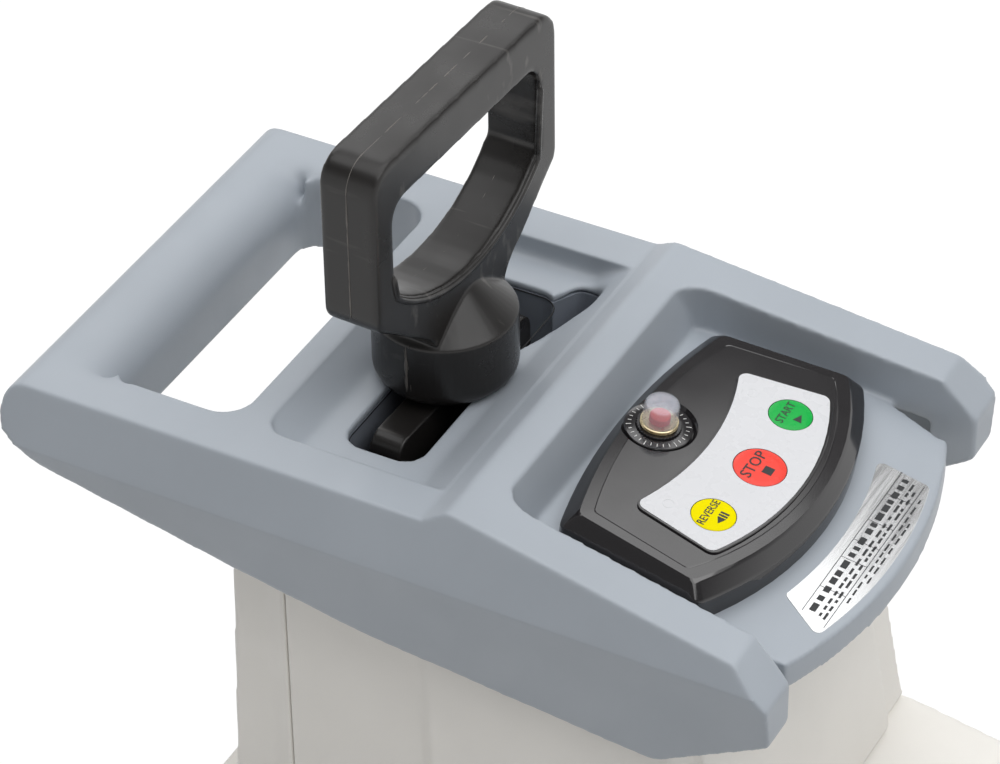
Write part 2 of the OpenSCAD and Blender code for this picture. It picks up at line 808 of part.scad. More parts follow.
function panel_outline(m) = band(
    bow(panel_back_hw - m, -panel_back_y - m, -panel_back_y + panel_back_bow - m),
    bow(panel_front_hw - m, -panel_front_y + m, -panel_front_y - panel_front_bow + m), panel_r);
module button_holes(z0, z1) {
    for (x = [-side_button_x, side_button_x])
        translate([x, -side_button_y, z0]) cylinder(r = side_button_r + slide_fit, h = z1 - z0);
    translate([0, -stop_y, z0]) cylinder(r = stop_button_r + slide_fit, h = z1 - z0);
}
module control_panel() {
    top = -overlay_t;
    color(black) panel() difference() {
        union() {
            difference() {
                union() {
                    translate([0, 0, -panel_h]) linear_extrude(panel_h - bevel_h + top)
                        polygon(panel_outline(0));
                    translate([0, 0, -bevel_h + top - over]) linear_extrude(bevel_h + over)
                        polygon(panel_outline(panel_bevel));
                }
                translate([0, 0, -panel_h - over])
                    linear_extrude(panel_h - panel_wall - breaker_seat_depth + top + over)
                    polygon(panel_outline(panel_bevel + panel_wall));
            }
            for (x = board_post_xs, y = board_post_ys)
                translate([x, y, -board_drop]) cylinder(r = 3, h = board_drop - panel_wall);
        }
        button_holes(-far, far);
        translate([0, -breaker_y, ring_z]) cylinder(r = breaker_seat_r, h = far);
        translate([0, -breaker_y, -far]) cylinder(r = breaker_bore_r, h = 2 * far);
    }
}
module panel_overlay() {
    color([0.89, 0.90, 0.91]) panel() difference() {
        translate([0, 0, -overlay_t]) linear_extrude(overlay_t)
            polygon(band(
                bow(panel_back_hw - overlay_inset, -overlay_back_y, -overlay_back_y - overlay_back_bow),
                bow(panel_front_hw - overlay_inset, -overlay_front_y,
                    -overlay_front_y - overlay_front_bow), overlay_r));
        button_holes(-far, far);
    }
}
module button(x, y, r, tint) {
    color(tint) panel() translate([x, -y, -button_depth])
        cylinder(r = r, h = button_depth + button_proud);
}
module start_button() {
    button(side_button_x, side_button_y, side_button_r, green);
}
module stop_button() {
    button(0, stop_y, stop_button_r, red);
}
module reverse_button() {
    button(-side_button_x, side_button_y, side_button_r, yellow);
}
module breaker_part(r, z0, z1) {
    translate([0, -breaker_y, z0]) cylinder(r = r, h = z1 - z0);
}
module breaker_body() {
    under = ring_z - panel_wall;
    color(dark_grey) panel() difference() {
        union() {
            breaker_part(breaker_neck_r, under - over, nut_z);
            breaker_part(breaker_body_r, under - breaker_body_len, under);
        }
        breaker_part(trip_button_r / 2 + slide_fit, under - 4, nut_z + over);
    }
}
module breaker_ring() {
    color(black) panel() difference() {
        union() {
            breaker_part(breaker_seat_r - 2.5, ring_z, ring_z + ring_t);
            breaker_part(knurl_r, knurl_z - over, nut_z);
        }
        breaker_part(breaker_bore_r, ring_z - over, nut_z + over);
    }
}
module breaker_nut() {
    color(brass) panel() difference() {
        breaker_part(nut_r, nut_z, boot_z);
        breaker_part(trip_button_r + slide_fit, nut_z - over, boot_z + over);
    }
}
module breaker_button() {
    color(red) panel() {
        breaker_part(trip_button_r, trip_z, trip_z + trip_button_h);
        breaker_part(trip_button_r / 2, ring_z - panel_wall, trip_z + over);
    }
}
module breaker_boot() {
    color([0.85, 0.90, 0.95, 0.4]) panel() difference() {
        breaker_part(boot_r, boot_z, boot_h);
        breaker_part(boot_r - boot_t, boot_z - over, boot_h - boot_t);
    }
}
module rating_plate() {
    r1 = nose_r - plate_inset;
    a = [for (i = [-8:8]) plate_half_angle * i / 8];
    color([0.80, 0.81, 0.82]) head() intersection() {
        translate([0, nose_r - nose_len, -far / 2]) linear_extrude(far) polygon(concat(
            [for (t = a) r1 * dir(270 + t - plate_skew)],
            [for (t = a) (r1 - plate_band) * dir(270 - t + plate_skew)]));
        side_solid([[0, deck_at(0)], [-far, deck_at(-far)], [-far, deck_at(-far) + plate_t],
            [0, deck_at(0) + plate_t]], -far, far);
    }
}
module control_board() {
    color([0.10, 0.35, 0.20]) panel() translate([0, 0, -board_drop - board_t])
        linear_extrude(board_t) polygon([for (x = [-1, 1], y = [-x, x])
            [x * board_hw, y * board_hd - board_y]]);
}

module pusher() {
    hw = grip_w / 2;
    hole_hw = hw - grip_side;
    hole_top = grip_top - grip_bar;
    hole_end = hole_top - grip_hole_h;
    hole_r = (hole_hw * hole_hw + grip_hole_sag * grip_hole_sag) / (2 * grip_hole_sag);
    color(black) pusher_frame() {
        rotate_extrude() polygon(rounded([
            [0, boss_z, 0], [boss_d / 2, boss_z, boss_edge_r], [boss_d / 2, boss_top, 1],
            [boss_tip_r, boss_top + boss_cone, 1], [0, boss_top + boss_cone, 0]]));
        difference() {
            translate([0, grip_t / 2, 0]) rotate([90, 0, 0]) linear_extrude(grip_t)
                polygon(rounded([
                    [-hw, grip_top, grip_corner], [hw, grip_top, grip_corner],
                    [hw, grip_side_end, 10], [web_hw, boss_top + 4, 26], [web_hw, boss_z + 8, 0],
                    [-web_hw, boss_z + 8, 0], [-web_hw, boss_top + 4, 26],
                    [-hw, grip_side_end, 10]]));
            translate([0, grip_t, 0]) rotate([90, 0, 0]) linear_extrude(2 * grip_t)
                polygon(concat(
                    rounded([[hole_hw, hole_end, 0], [hole_hw, hole_top, 10],
                        [-hole_hw, hole_top, 10], [-hole_hw, hole_end, 0]]),
                    [for (i = [1:15]) let (x = hole_hw * (i / 8 - 1))
                        [x, hole_end - grip_hole_sag + hole_r - sqrt(hole_r * hole_r - x * x)]]));
        }
        translate([0, paddle_y + paddle_t / 2, 0]) rotate([90, 0, 0]) linear_extrude(paddle_t)
            polygon(rounded([
                [-paddle_w / 2, paddle_top, 9], [paddle_w / 2, paddle_top, 9],
                [paddle_w / 2, boss_z - paddle_len, 6],
                [-paddle_w / 2, boss_z - paddle_len, 6]]));
        translate([0, paddle_y, paddle_top - 3]) cylinder(d = paddle_t, h = boss_z - paddle_top + 6);
    }
}
module feed_chute() {
    w = chute_wall;
    hw = slot_w / 2;
    z0 = head_z - ceiling_drop - mouth_h;
    z1 = shoulder_z - 10;
    zm = z0 - 90;
    y0 = head_y + slot_y - slot_d / 2;
    y1 = head_y + slot_y + slot_d / 2;
    x0 = deck_x0 + w;
    x1 = deck_x1 - w;
    color(dark_grey) difference() {
        union() {
            head() translate([0, 0, -ceiling_drop - mouth_h]) linear_extrude(mouth_h) mouth(w);
            head() translate([0, 0, -ceiling_drop - 3]) linear_extrude(3) mouth(mouth_lip);
            front_solid([[-hw - w, z0 + over], [-hw - w, zm], [x0 - w, z1], [x1 + w, z1],
                [hw + w, zm], [hw + w, z0 + over]], y0 - w, y1 + w);
            block([deck_x0 - side_plate_t, y0 - w - 8, z1], [case_x + 4, y1 + w + 8, z1 + 3]);
        }
        head() translate([0, 0, -ceiling_drop - mouth_h + w]) linear_extrude(mouth_h) mouth(0);
        front_solid([[-hw, z0 + 2 * w], [-hw, zm], [x0, z1 - over], [x1, z1 - over], [hw, zm],
            [hw, z0 + 2 * w]], y0, y1);
    }
}

// Number of steps of the tower's flank, with the lean that the flank had at its foot
function step_count(n) = n + tower_lean * tower_h / tower_step;
// Side view of the tower with its front at a reach, extruded over +-hw and drawn in by m
module tower_side(m, reach, hw) {
    back = tower_back - m + back_ledge;
    side_solid([
        [tower_back - m, -tower_top + far], [tower_back - m, -ledge_drop],
        [back, -ledge_drop - back_ledge], [back + back_lean * far, -ledge_drop - back_ledge - far],
        [m - reach - front_lean * far, -tower_top - far], [m - reach, -tower_top],
        [m - reach, -tower_top + far]], -hw, hw);
}
// Outer form of the tower, drawn in by m
module tower_form(m, z0, z1) {
    hw = tower_hw - m;
    drop = far;
    steps = [[0, -far], [0, step_y - step_run], [step_count(1), step_y],
        [step_count(1), seam_y], [step_count(2), seam_y + step_run], [step_count(2), far]];
    head() intersection() {
        union() {
            tower_side(m, tower_front - strip_set, far);
            tower_side(m, tower_front, strip_hw - m);
        }
        front_solid([
            [-hw, far], [-hw, -tower_top], [-hw - tower_lean * drop, -tower_top - drop],
            [hw + tower_lean * drop, -tower_top - drop], [hw, -tower_top], [hw, far]], -far, far);
        translate([0, 0, z0 - head_z]) linear_extrude(z1 - z0) polygon(concat(
            [for (p = steps) [hw + tower_lean * tower_h - tower_step * p[0], p[1]]],
            [for (i = [len(steps) - 1:-1:0]) let (p = steps[i])
                [-hw - tower_lean * tower_h + tower_step * p[0], p[1]]]));
    }
}
module tower_half(front) {
    y = head_y + seam_y;
    intersection() {
        difference() {
            tower_form(0, shoulder_z, tower_z);
            tower_form(shell_wall, shoulder_z - over, tower_z - roof_t);
        }
        if (front) block([-far, -far, 0], [far, y, 2 * far + tower_z]);
        else block([-far, y, 0], [far, far, 2 * far + tower_z]);
    }
}
module tower_shell() {
    color(light_grey) difference() {
        tower_half(true);
        head() linear_extrude(far, center = true) mouth(mouth_lip);
        head() translate([0, slot_y, 0])
            cube([slot_w, slot_d, far] + 2 * (chute_wall + slide_fit) * [1, 1, 0], center = true);
        head() posts(screw_r, -far, far);
        panel() breaker_part(breaker_body_r + 2, -far, far);
    }
}
module rear_cover() {
    color(light_grey) tower_half(false);
}
// Side view and front view of the lower housing, drawn in by m
function housing_side(m) = rounded([
    [housing_back - m, chassis_z - (m > 0 ? over : 0), 0], [housing_back - m, shoulder_z - m, 0],
    [-nose_slope_y, shoulder_z - m, 0], [-housing_front + m, shoulder_front_z - m, 10],
    [-housing_front + m, waist_z - 10, 0], [-skirt_front + m, skirt_top_z - m, 0],
    [-skirt_front + m, chassis_z - (m > 0 ? over : 0), 0]]);
function housing_section(m) = let (z0 = chassis_z - (m > 0 ? over : 0)) rounded([
    [-skirt_hw + m, z0, 0], [skirt_hw - m, z0, 0], [skirt_hw - m, skirt_top_z - m, 0],
    [housing_hw - m, waist_z, 0], [housing_hw - m, shoulder_z - m, m > 0 ? 0 : 5],
    [-housing_hw + m, shoulder_z - m, m > 0 ? 0 : 5], [-housing_hw + m, waist_z, 0],
    [-skirt_hw + m, skirt_top_z - m, 0]]);
// Plan of the lower housing, drawn in by m
function housing_plan(m) = rounded([
    [-skirt_hw + m, -skirt_front + m, skirt_r - m], [skirt_hw - m, -skirt_front + m, skirt_r - m],
    [skirt_hw - m, housing_back - m, skirt_r - m], [-skirt_hw + m, housing_back - m, skirt_r - m]]);
module housing_form(m) {
    intersection() {
        side_solid(housing_side(m), -far, far);
        front_solid(housing_section(m), -far, far);
        linear_extrude(2 * far) polygon(housing_plan(m));
    }
}
module lower_housing() {
    in_hw = tower_hw - tower_step - 2 * shell_wall;
    color(light_grey) difference() {
        housing_form(0);
        housing_form(shell_wall);
        block([-in_hw, head_y - tower_front + 2 * shell_wall, shoulder_z - 2 * shell_wall],
            [in_hw, head_y + tower_back - 2 * shell_wall, shoulder_z + over]);
        for (i = [0:vent_count - 1]) let (y = motor_c[0] + vent_pitch * (i - (vent_count - 1) / 2))
            block([-far, y - vent_w / 2, waist_z - vent_h + 20],
                [far, y + vent_w / 2, waist_z + 20]);
        bar_y([adjuster_x, adjuster_z], screw_d / 2 + bush_t + slide_fit, housing_back - 2 * shell_wall,
            housing_back + over);
        block([inlet_x - inlet_hw - slide_fit, housing_back - 2 * shell_wall, inlet_z - slide_fit],
            [inlet_x + inlet_hw + slide_fit, housing_back + over, inlet_z + inlet_h + slide_fit]);
        block([-tongue_hw - 1, -skirt_front - over, stem_z - slide_fit],
            [tongue_hw + lock_travel + 1, -skirt_front + 2 * shell_wall, stem_z + stem_h + slide_fit]);
    }
}
module chassis_plate() {
    color(steel) difference() {
        translate([0, 0, chassis_bottom]) linear_extrude(chassis_t)
            polygon(housing_plan(chassis_inset));
        block([deck_x0, deck_y0, chassis_bottom - over], [deck_x1, deck_y1, chassis_z + over]);
    }
}

module leg(s) {
    wx = s * (leg_x + leg_t / 2);
    color(light_grey) difference() {
        union() {
            side_solid(rounded([
                [-leg_front, chassis_bottom, 0], [leg_back, chassis_bottom, 0],
                [axle_y + 30, wheel_r + 26, 16], [axle_y + 30, wheel_r - 26, 16],
                [axle_y - 34, foot_h, 10], [-leg_front, foot_h, 8]]),
                wx - leg_t / 2, wx + leg_t / 2);
            block([s > 0 ? leg_x - runner_w : -leg_x - over, -leg_front + 4, runner_z],
                [s > 0 ? leg_x + over : -leg_x + runner_w, box_back + 4, runner_z + runner_t]);
        }
        bar_x([axle_y, wheel_r], axle_d / 2 + seat_fit, wx - leg_t, wx + leg_t);
        side_solid(rounded([
            [-leg_front + relief_edge, chassis_bottom - relief_edge, 14],
            [leg_back - relief_edge, chassis_bottom - relief_edge, 14],
            [axle_y - 40, wheel_d + relief_edge, 30], [axle_y - wheel_r - 30, wheel_r, 40],
            [axle_y - wheel_r - 30, foot_h + relief_edge, 14],
            [-leg_front + relief_edge, foot_h + relief_edge, 14]]),
            s > 0 ? leg_x + leg_t - relief_depth : -leg_x - leg_t - over,
            s > 0 ? leg_x + leg_t + over : -leg_x - leg_t + relief_depth);
    }
}
module left_leg() {
    leg(-1);
}
module right_leg() {
    leg(1);
}
module rear_panel() {
    color(light_grey) block([-leg_x, rear_panel_y, runner_z + runner_t + 30],
        [leg_x, rear_panel_y + rear_panel_t, chassis_bottom]);
}
module front_brace() {
    color(dark_grey) block([-leg_x + runner_w, brace_y, runner_z - brace_lap / 2],
        [leg_x - runner_w, brace_y + brace_d, runner_z + brace_top]);
    color(dark_grey) for (s = [-1, 1])
        block([s > 0 ? leg_x - runner_w - over : -leg_x, brace_y, runner_z - brace_lap],
            [s > 0 ? leg_x : -leg_x + runner_w + over, brace_y + brace_d, runner_z]);
}
module feet() {
    color(black) for (s = [-1, 1])
        translate([s * (leg_x + leg_t / 2), foot_y, 0]) cylinder(r = foot_r, h = foot_h);
}
module axle() {
    color(steel) bar_x([axle_y, wheel_r], axle_d / 2, -axle_end, axle_end);
}
module axle_washers() {
    color(black) for (s = [-1, 1]) difference() {
        bar_x([axle_y, wheel_r], axle_d, s * (leg_x + leg_t + slide_fit + washer_t / 2) - washer_t / 2,
            s * (leg_x + leg_t + slide_fit + washer_t / 2) + washer_t / 2);
        bar_x([axle_y, wheel_r], axle_d / 2 + seat_fit, -far, far);
    }
}
module wheel(s) {
    mid = s * (wheel_x + wheel_w / 2);
    rim = 14;
    web = 12;
    color(black) difference() {
        translate([mid, axle_y, wheel_r]) rotate([0, 90, 0]) rotate_extrude($fn = 96)
            polygon(rounded([[axle_d / 2 + run_fit, -wheel_w / 2, 0], [hub_r, -wheel_w / 2, 0],
                [hub_r, -web / 2, 0], [wheel_r - rim, -web / 2, 0],
                [wheel_r - rim, -wheel_w / 2, 0], [wheel_r, -wheel_w / 2, 8],
                [wheel_r, wheel_w / 2, 8], [wheel_r - rim, wheel_w / 2, 0],
                [wheel_r - rim, web / 2, 0], [hub_r, web / 2, 0], [hub_r, wheel_w / 2, 0],
                [axle_d / 2 + run_fit, wheel_w / 2, 0]], 4));
        for (i = [0:spoke_count - 1]) translate([mid, axle_y, wheel_r])
            rotate([i * 360 / spoke_count, 0, 0]) translate([0, (hub_r + wheel_r - rim) / 2, 0])
            rotate([0, 90, 0]) cylinder(r = (wheel_r - rim - hub_r) / 2 - 5, h = wheel_w, center = true);
    }
}
module left_wheel() {
    wheel(-1);
}
module right_wheel() {
    wheel(1);
}
module hub_cap(s) {
    color(dark_grey) translate([s * (wheel_x + wheel_w), axle_y, wheel_r]) rotate([0, s * 90, 0])
        rotate_extrude() polygon(rounded([[0, 0, 0], [hub_r - 3, 0, 0], [hub_r - 3, cap_t, 2],
            [0, cap_t, 0]], 4));
}
module left_hub_cap() {
    hub_cap(-1);
}
module right_hub_cap() {
    hub_cap(1);
}

module collection_box() {
    top = box_z + box_h;
    w = box_wall;
    color(dark_grey) difference() {
        block([-box_hw, -box_front, box_z], [box_hw, box_back, top]);
        difference() {
            block([-box_hw + w, -box_front + w, box_z + w], [box_hw - w, box_back - w, top + over]);
            block([-lip_w / 2 - w, -box_front, lip_z - lip_h - w],
                [lip_w / 2 + w, -box_front + pocket_depth + w, lip_z + lip_h + w]);
        }
        block([-lip_w / 2, -box_front - over, lip_z - lip_h],
            [lip_w / 2, -box_front + pocket_depth, lip_z + lip_h]);
        block([-notch_hw, -box_front - over, top - notch_h],
            [notch_hw, -box_front + w + over, top + over]);
        for (i = [0:groove_count - 1]) let (z = box_z + groove_base + i * groove_pitch)
            block([-box_hw + groove_inset, -box_front - over, z],
                [box_hw - groove_inset, -box_front + groove_depth, z + groove_w]);
    }
}
module box_grip() {
    t = grip_wall;
    y = -box_front - lip_reach;
    color(black) side_solid(rounded([
        [-box_front, lip_z + lip_h + 4 * t, 0], [y, lip_z + lip_h - 2 * t, 8], [y, lip_z - 2 * t, 3],
        [y + t, lip_z - 2 * t, 0], [y + t, lip_z + lip_h - 2 * t - 4, 6],
        [-box_front, lip_z + lip_h + 2 * t, 0]]), -lip_w / 2 - lip_end, lip_w / 2 + lip_end);
}
module box_lock() {
    y = -lock_y;
    color(red) {
        block([-lock_hw, y - lock_face_t, lock_z], [lock_hw, y, lock_z + lock_h]);
        block([-tongue_hw, y - lock_face_t, box_z + box_h - notch_h + 5],
            [tongue_hw, y - lock_face_t + tongue_t, lock_z + over]);
        block([-tongue_hw, y - over, stem_z], [tongue_hw, y + 2 * shell_wall + 3, stem_z + stem_h]);
        block([-tongue_hw, y + shell_wall + 2 * slide_fit, stem_z - 3],
            [tongue_hw, y + 2 * shell_wall + 3, stem_z + stem_h + 3]);
    }
}
module interlock_switch() {
    y = -lock_y + shell_wall;
    color(dark_grey) difference() {
        block([switch_x, y + 1, chassis_z], [switch_x + 26, y + 13, stem_z + stem_h + 6]);
        bar_x([y + 5, stem_z + stem_h / 2], plunger_r + slide_fit, switch_x - over,
            switch_x + plunger_len);
    }
}
module interlock_plunger() {
    y = -lock_y + shell_wall;
    color(red) bar_x([y + 5, stem_z + stem_h / 2], plunger_r, switch_x - plunger_len / 2,
        switch_x + plunger_len / 2);
}

module motor_housing() {
    front = case_x;
    color(cast) difference() {
        bar_x(motor_c, motor_r, motor_x0, front);
        bar_x(motor_c, motor_r - motor_wall, motor_x0 - over, front - bearing_w - bearing_wall);
        bar_x(motor_c, motor_bearing_r + seat_fit, front - bearing_w - over, front + over);
        bar_x(motor_c, motor_shaft_d / 2 + 1, motor_x0, front + over);
    }
    color(cast) for (y = [-1, 1])
        block([motor_x0 + 20, motor_c[0] + y * 24 - 6, chassis_z],
            [front - 20, motor_c[0] + y * 24 + 6,
            motor_c[1] - sqrt(motor_r * motor_r - 18 * 18) + 1]);
}
module motor_end_cap() {
    x0 = motor_x0 - end_cap_t;
    color(black) difference() {
        bar_x(motor_c, motor_r, x0, motor_x0);
        bar_x(motor_c, motor_bearing_r + seat_fit, motor_x0 - bearing_w, motor_x0 + over);
        bar_x(motor_c, motor_shaft_d / 2 + 1, x0 - over, motor_x0 + over);
        for (i = [0:7]) translate([0, motor_c[0], motor_c[1]]) rotate([i * 45, 0, 0])
            block([x0 - over, 22, -4], [motor_x0 + over, motor_r - motor_wall - 2, 4]);
    }
}
module stator() {
    color(steel) difference() {
        bar_x(motor_c, motor_r - motor_wall - seat_fit, stack_x0, stack_x0 + stack_len);
        bar_x(motor_c, rotor_r + air_gap, stack_x0 - over, stack_x0 + stack_len + over);
    }
}
module rotor() {
    color(cast) difference() {
        bar_x(motor_c, rotor_r, stack_x0, stack_x0 + stack_len);
        bar_x(motor_c, motor_shaft_d / 2 + seat_fit, stack_x0 - over, stack_x0 + stack_len + over);
    }
}
module motor_shaft() {
    color(steel) {
        bar_x(motor_c, motor_shaft_d / 2, motor_x0 - end_cap_t + 2, first_x - slide_fit);
        bar_x(motor_c, pinion_bore_r, first_x - over, first_x + first_w);
    }
}
module cooling_fan() {
    color(black) difference() {
        union() {
            bar_x(motor_c, motor_shaft_d / 2 + 6, fan_x, fan_x + fan_w);
            bar_x(motor_c, motor_r - motor_wall - 4, fan_x, fan_x + 2);
            for (i = [0:7]) translate([0, motor_c[0], motor_c[1]]) rotate([i * 45, 0, 0])
                block([fan_x, motor_shaft_d / 2 + 2, -1], [fan_x + fan_w, motor_r - motor_wall - 4, 1]);
        }
        bar_x(motor_c, motor_shaft_d / 2 + seat_fit, fan_x - over, fan_x + fan_w + over);
    }
}
module motor_pinion() {
    color(brass) difference() {
        gear(motor_c, pinion_teeth, first_module, motor_phase, first_x, first_w);
        bar_x(motor_c, pinion_bore_r + seat_fit, first_x - over, first_x + first_w + over);
    }
}
module first_gear() {
    color(cast) difference() {
        union() {
            gear(first_c, first_teeth, first_module, first_phase, first_x, first_w);
            gear(first_c, pinion_teeth, second_module, first_pinion_phase, first_x + first_w - over,
                second_w + gear_gap + over);
        }
        bar_x(first_c, first_pin_r + run_fit, first_x - over, far);
    }
}
module second_gear() {
    color(cast) difference() {
        union() {
            gear(second_c, second_teeth, second_module, second_phase, second_x, second_w);
            gear(second_c, pinion_teeth, output_module, second_pinion_phase, second_x + second_w - over,
                output_w + gear_gap + over);
        }
        bar_x(second_c, second_pin_r + run_fit, second_x - over, far);
    }
}
module gear_pins() {
    color(steel) {
        bar_x(first_c, first_pin_r, case_x, cover_x);
        bar_x(second_c, second_pin_r, case_x, cover_x);
    }
}
module output_gear() {
    color(steel) difference() {
        gear(output_c, output_teeth, output_module, output_phase, output_x, output_w);
        bar_x(output_c, roller_shaft_d / 2 + seat_fit, output_x - over, output_x + output_w + over);
    }
}
// Outline of the gearbox round its gears, grown by m
function case_outline(m) = rounded([
    [output_c[0] + case_hw + m, output_c[1] + case_hw + m, 40],
    [second_c[0] - 30, output_c[1] + case_hw + m, 30],
    [motor_c[0] - case_nose - m, motor_c[1] + 44 + m, 26],
    [motor_c[0] - case_nose - m, motor_c[1] - 24 - m, 14],
    [second_c[0] - 10, output_c[1] - case_foot - m, 30],
    [output_c[0] + case_hw + m, output_c[1] - case_foot - m, 40]]);
module gearbox_case() {
    color(cast) difference() {
        union() {
            side_solid(case_outline(case_wall), case_x, cover_x);
            bar_x(output_c, roller_bearing_r + bearing_wall, case_x - boss_t, case_x + over);
        }
        side_solid(case_outline(0), case_x + case_wall, cover_x + over);
        bar_x(output_c, roller_bearing_r + seat_fit, case_x - boss_t - over, case_x + case_wall + over);
        bar_x(motor_c, motor_shaft_d / 2 + 1, case_x - over, case_x + case_wall + over);
        bar_x(first_c, first_pin_r + seat_fit, case_x - over, case_x + case_wall + over);
        bar_x(second_c, second_pin_r + seat_fit, case_x - over, case_x + case_wall + over);
    }
}
module gearbox_cover() {
    color(cast) difference() {
        side_solid(case_outline(case_wall), cover_x, cover_x + case_t);
        bar_x(output_c, roller_shaft_d / 2 + run_fit, cover_x - over, cover_x + case_t + over);
    }
}
module gearbox_screws() {
    color(steel) for (p = case_screw_at)
        bar_x(p, screw_head_r, cover_x + case_t, cover_x + case_t + case_screw_h);
}
module cutting_roller() {
    root_r = roller_r - tooth_depth;
    step = 360 / roller_teeth;
    ring_pitch = 18;
    color(steel) difference() {
        translate([0, output_c[0], output_c[1]]) side_solid([for (i = [0:roller_teeth - 1]) each [
            roller_r * dir(i * step), roller_r * dir(i * step + 0.3 * step),
            root_r * dir(i * step + 0.42 * step), root_r * dir(i * step + 0.9 * step)]],
            roller_x0, roller_x1);
        bar_x(output_c, roller_shaft_d / 2 + seat_fit, roller_x0 - over, roller_x1 + over);
        for (x = [roller_x0 + ring_pitch:ring_pitch:roller_x1 - ring_pitch / 2]) difference() {
            bar_x(output_c, roller_r + over, x - 1.5, x + 1.5);
            bar_x(output_c, root_r, x - 2, x + 2);
        }
    }
}
module roller_shaft() {
    color(steel) bar_x(output_c, roller_shaft_d / 2, side_plate_x - 2, cover_x + case_t + 1);
}
module bearing(place, r_out, shaft_d, x0, w) {
    difference() {
        bar_x(place, r_out, x0, x0 + w);
        bar_x(place, shaft_d / 2 + run_fit, x0 - over, x0 + w + over);
    }
}
module bearings() {
    color(steel) {
        bearing(motor_c, motor_bearing_r, motor_shaft_d, case_x - bearing_w, bearing_w);
        bearing(motor_c, motor_bearing_r, motor_shaft_d, motor_x0 - bearing_w, bearing_w);
        bearing(output_c, roller_bearing_r, roller_shaft_d, case_x - boss_t, bearing_w);
        bearing(output_c, roller_bearing_r, roller_shaft_d, side_plate_x, bearing_w);
    }
}
module cutter_plate() {
    color(steel) difference() {
        block([side_plate_x, deck_y0 - 15, chassis_z], [deck_x0, deck_y1 + 15, shoulder_z - 10]);
        bar_x(output_c, roller_bearing_r + seat_fit, side_plate_x - over, deck_x0 + over);
    }
}
module pressure_plate() {
    color(cast) difference() {
        side_solid(rounded([
            [plate_y, plate_z, 2], [plate_y + plate_thick, plate_z, 0],
            [plate_y + plate_thick, plate_z + plate_h, 0], [plate_y + 5, plate_z + plate_h, 2]]),
            deck_x0 + slide_fit, case_x - boss_t - slide_fit);
        bar_y([adjuster_x, adjuster_z], screw_d / 2 + 2 * run_fit, plate_y + screw_tip,
            plate_y + plate_thick + over);
        bar_x(output_c, roller_bearing_r + bearing_wall + over, case_x - boss_t - 2, far);
    }
}
module adjuster_screw() {
    color(steel) bar_y([adjuster_x, adjuster_z], screw_d / 2, plate_y + screw_tip + slide_fit,
        housing_back + bush_t);
}
module adjuster_knob() {
    y = housing_back + bush_t;
    lobes = 8;
    color(black) difference() {
        union() {
            bar_y([adjuster_x, adjuster_z], knob_d / 2, y, y + 16);
            bar_y([adjuster_x, adjuster_z], screw_d / 2 + bush_t, housing_back - shell_wall, y + over);
        }
        bar_y([adjuster_x, adjuster_z], screw_d / 2 + seat_fit, 0, y);
        for (i = [0:lobes - 1]) let (p = (knob_d / 2 + 3) * dir(i * 360 / lobes))
            bar_y([adjuster_x + p.x, adjuster_z + p.y], 6, y - over, y + 17);
    }
}
module capacitor() {
    color([0.85, 0.86, 0.88]) {
        bar_y([capacitor_x, chassis_z + capacitor_r + 2], capacitor_r, capacitor_y0,
            capacitor_y0 + capacitor_len);
        for (t = [0.2, 0.75]) let (y = capacitor_y0 + capacitor_len * t) block(
            [capacitor_x - capacitor_r - clip_over, y, chassis_z],
            [capacitor_x + capacitor_r + clip_over, y + clip_w, chassis_z + capacitor_r + 2]);
    }
}
module mains_inlet() {
    y0 = housing_back - shell_wall - 14;
    y1 = housing_back + inlet_reach;
    pins = [[-8, 14], [8, 14], [0, 26]];
    color(black) difference() {
        union() {
            block([inlet_x - inlet_hw, y0, inlet_z], [inlet_x + inlet_hw, y1, inlet_z + inlet_h]);
            block([inlet_x - inlet_hw - 5, housing_back, inlet_z - 5],
                [inlet_x + inlet_hw + 5, housing_back + 3, inlet_z + inlet_h + 5]);
        }
        bar_y([inlet_x, inlet_z + inlet_h / 2], 18, y0 + 4, y1 + over);
    }
    color(brass) for (p = pins) bar_y([inlet_x + p[0], inlet_z + p[1]], 2, y0 + 3, y1 - 6);
}

top_cover();
control_panel();
panel_overlay();
start_button();
stop_button();
reverse_button();
breaker_body();
breaker_ring();
breaker_nut();
breaker_button();
breaker_boot();
rating_plate();
control_board();
cover_screws();
pusher();
feed_chute();
tower_shell();
rear_cover();
lower_housing();
chassis_plate();
left_leg();
right_leg();
rear_panel();
front_brace();
feet();
axle();
axle_washers();
left_wheel();
right_wheel();
left_hub_cap();
right_hub_cap();
collection_box();
box_grip();
box_lock();
interlock_switch();
interlock_plunger();
motor_housing();
motor_end_cap();
stator();
rotor();
motor_shaft();
cooling_fan();
motor_pinion();
first_gear();
second_gear();
gear_pins();
output_gear();
gearbox_case();
gearbox_cover();
gearbox_screws();
cutting_roller();
roller_shaft();
bearings();
cutter_plate();
pressure_plate();
adjuster_screw();
adjuster_knob();
capacitor();
mains_inlet();
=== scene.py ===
"""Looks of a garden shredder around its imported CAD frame.

Lengths are in metres. The numbers of the pusher's beads, the panel and its buttons, the breaker,
the seam and the rating plate are in millimetres.
"""

import json
import math
import random

import bmesh
import bpy
import numpy as np
from mathutils import Matrix, Vector


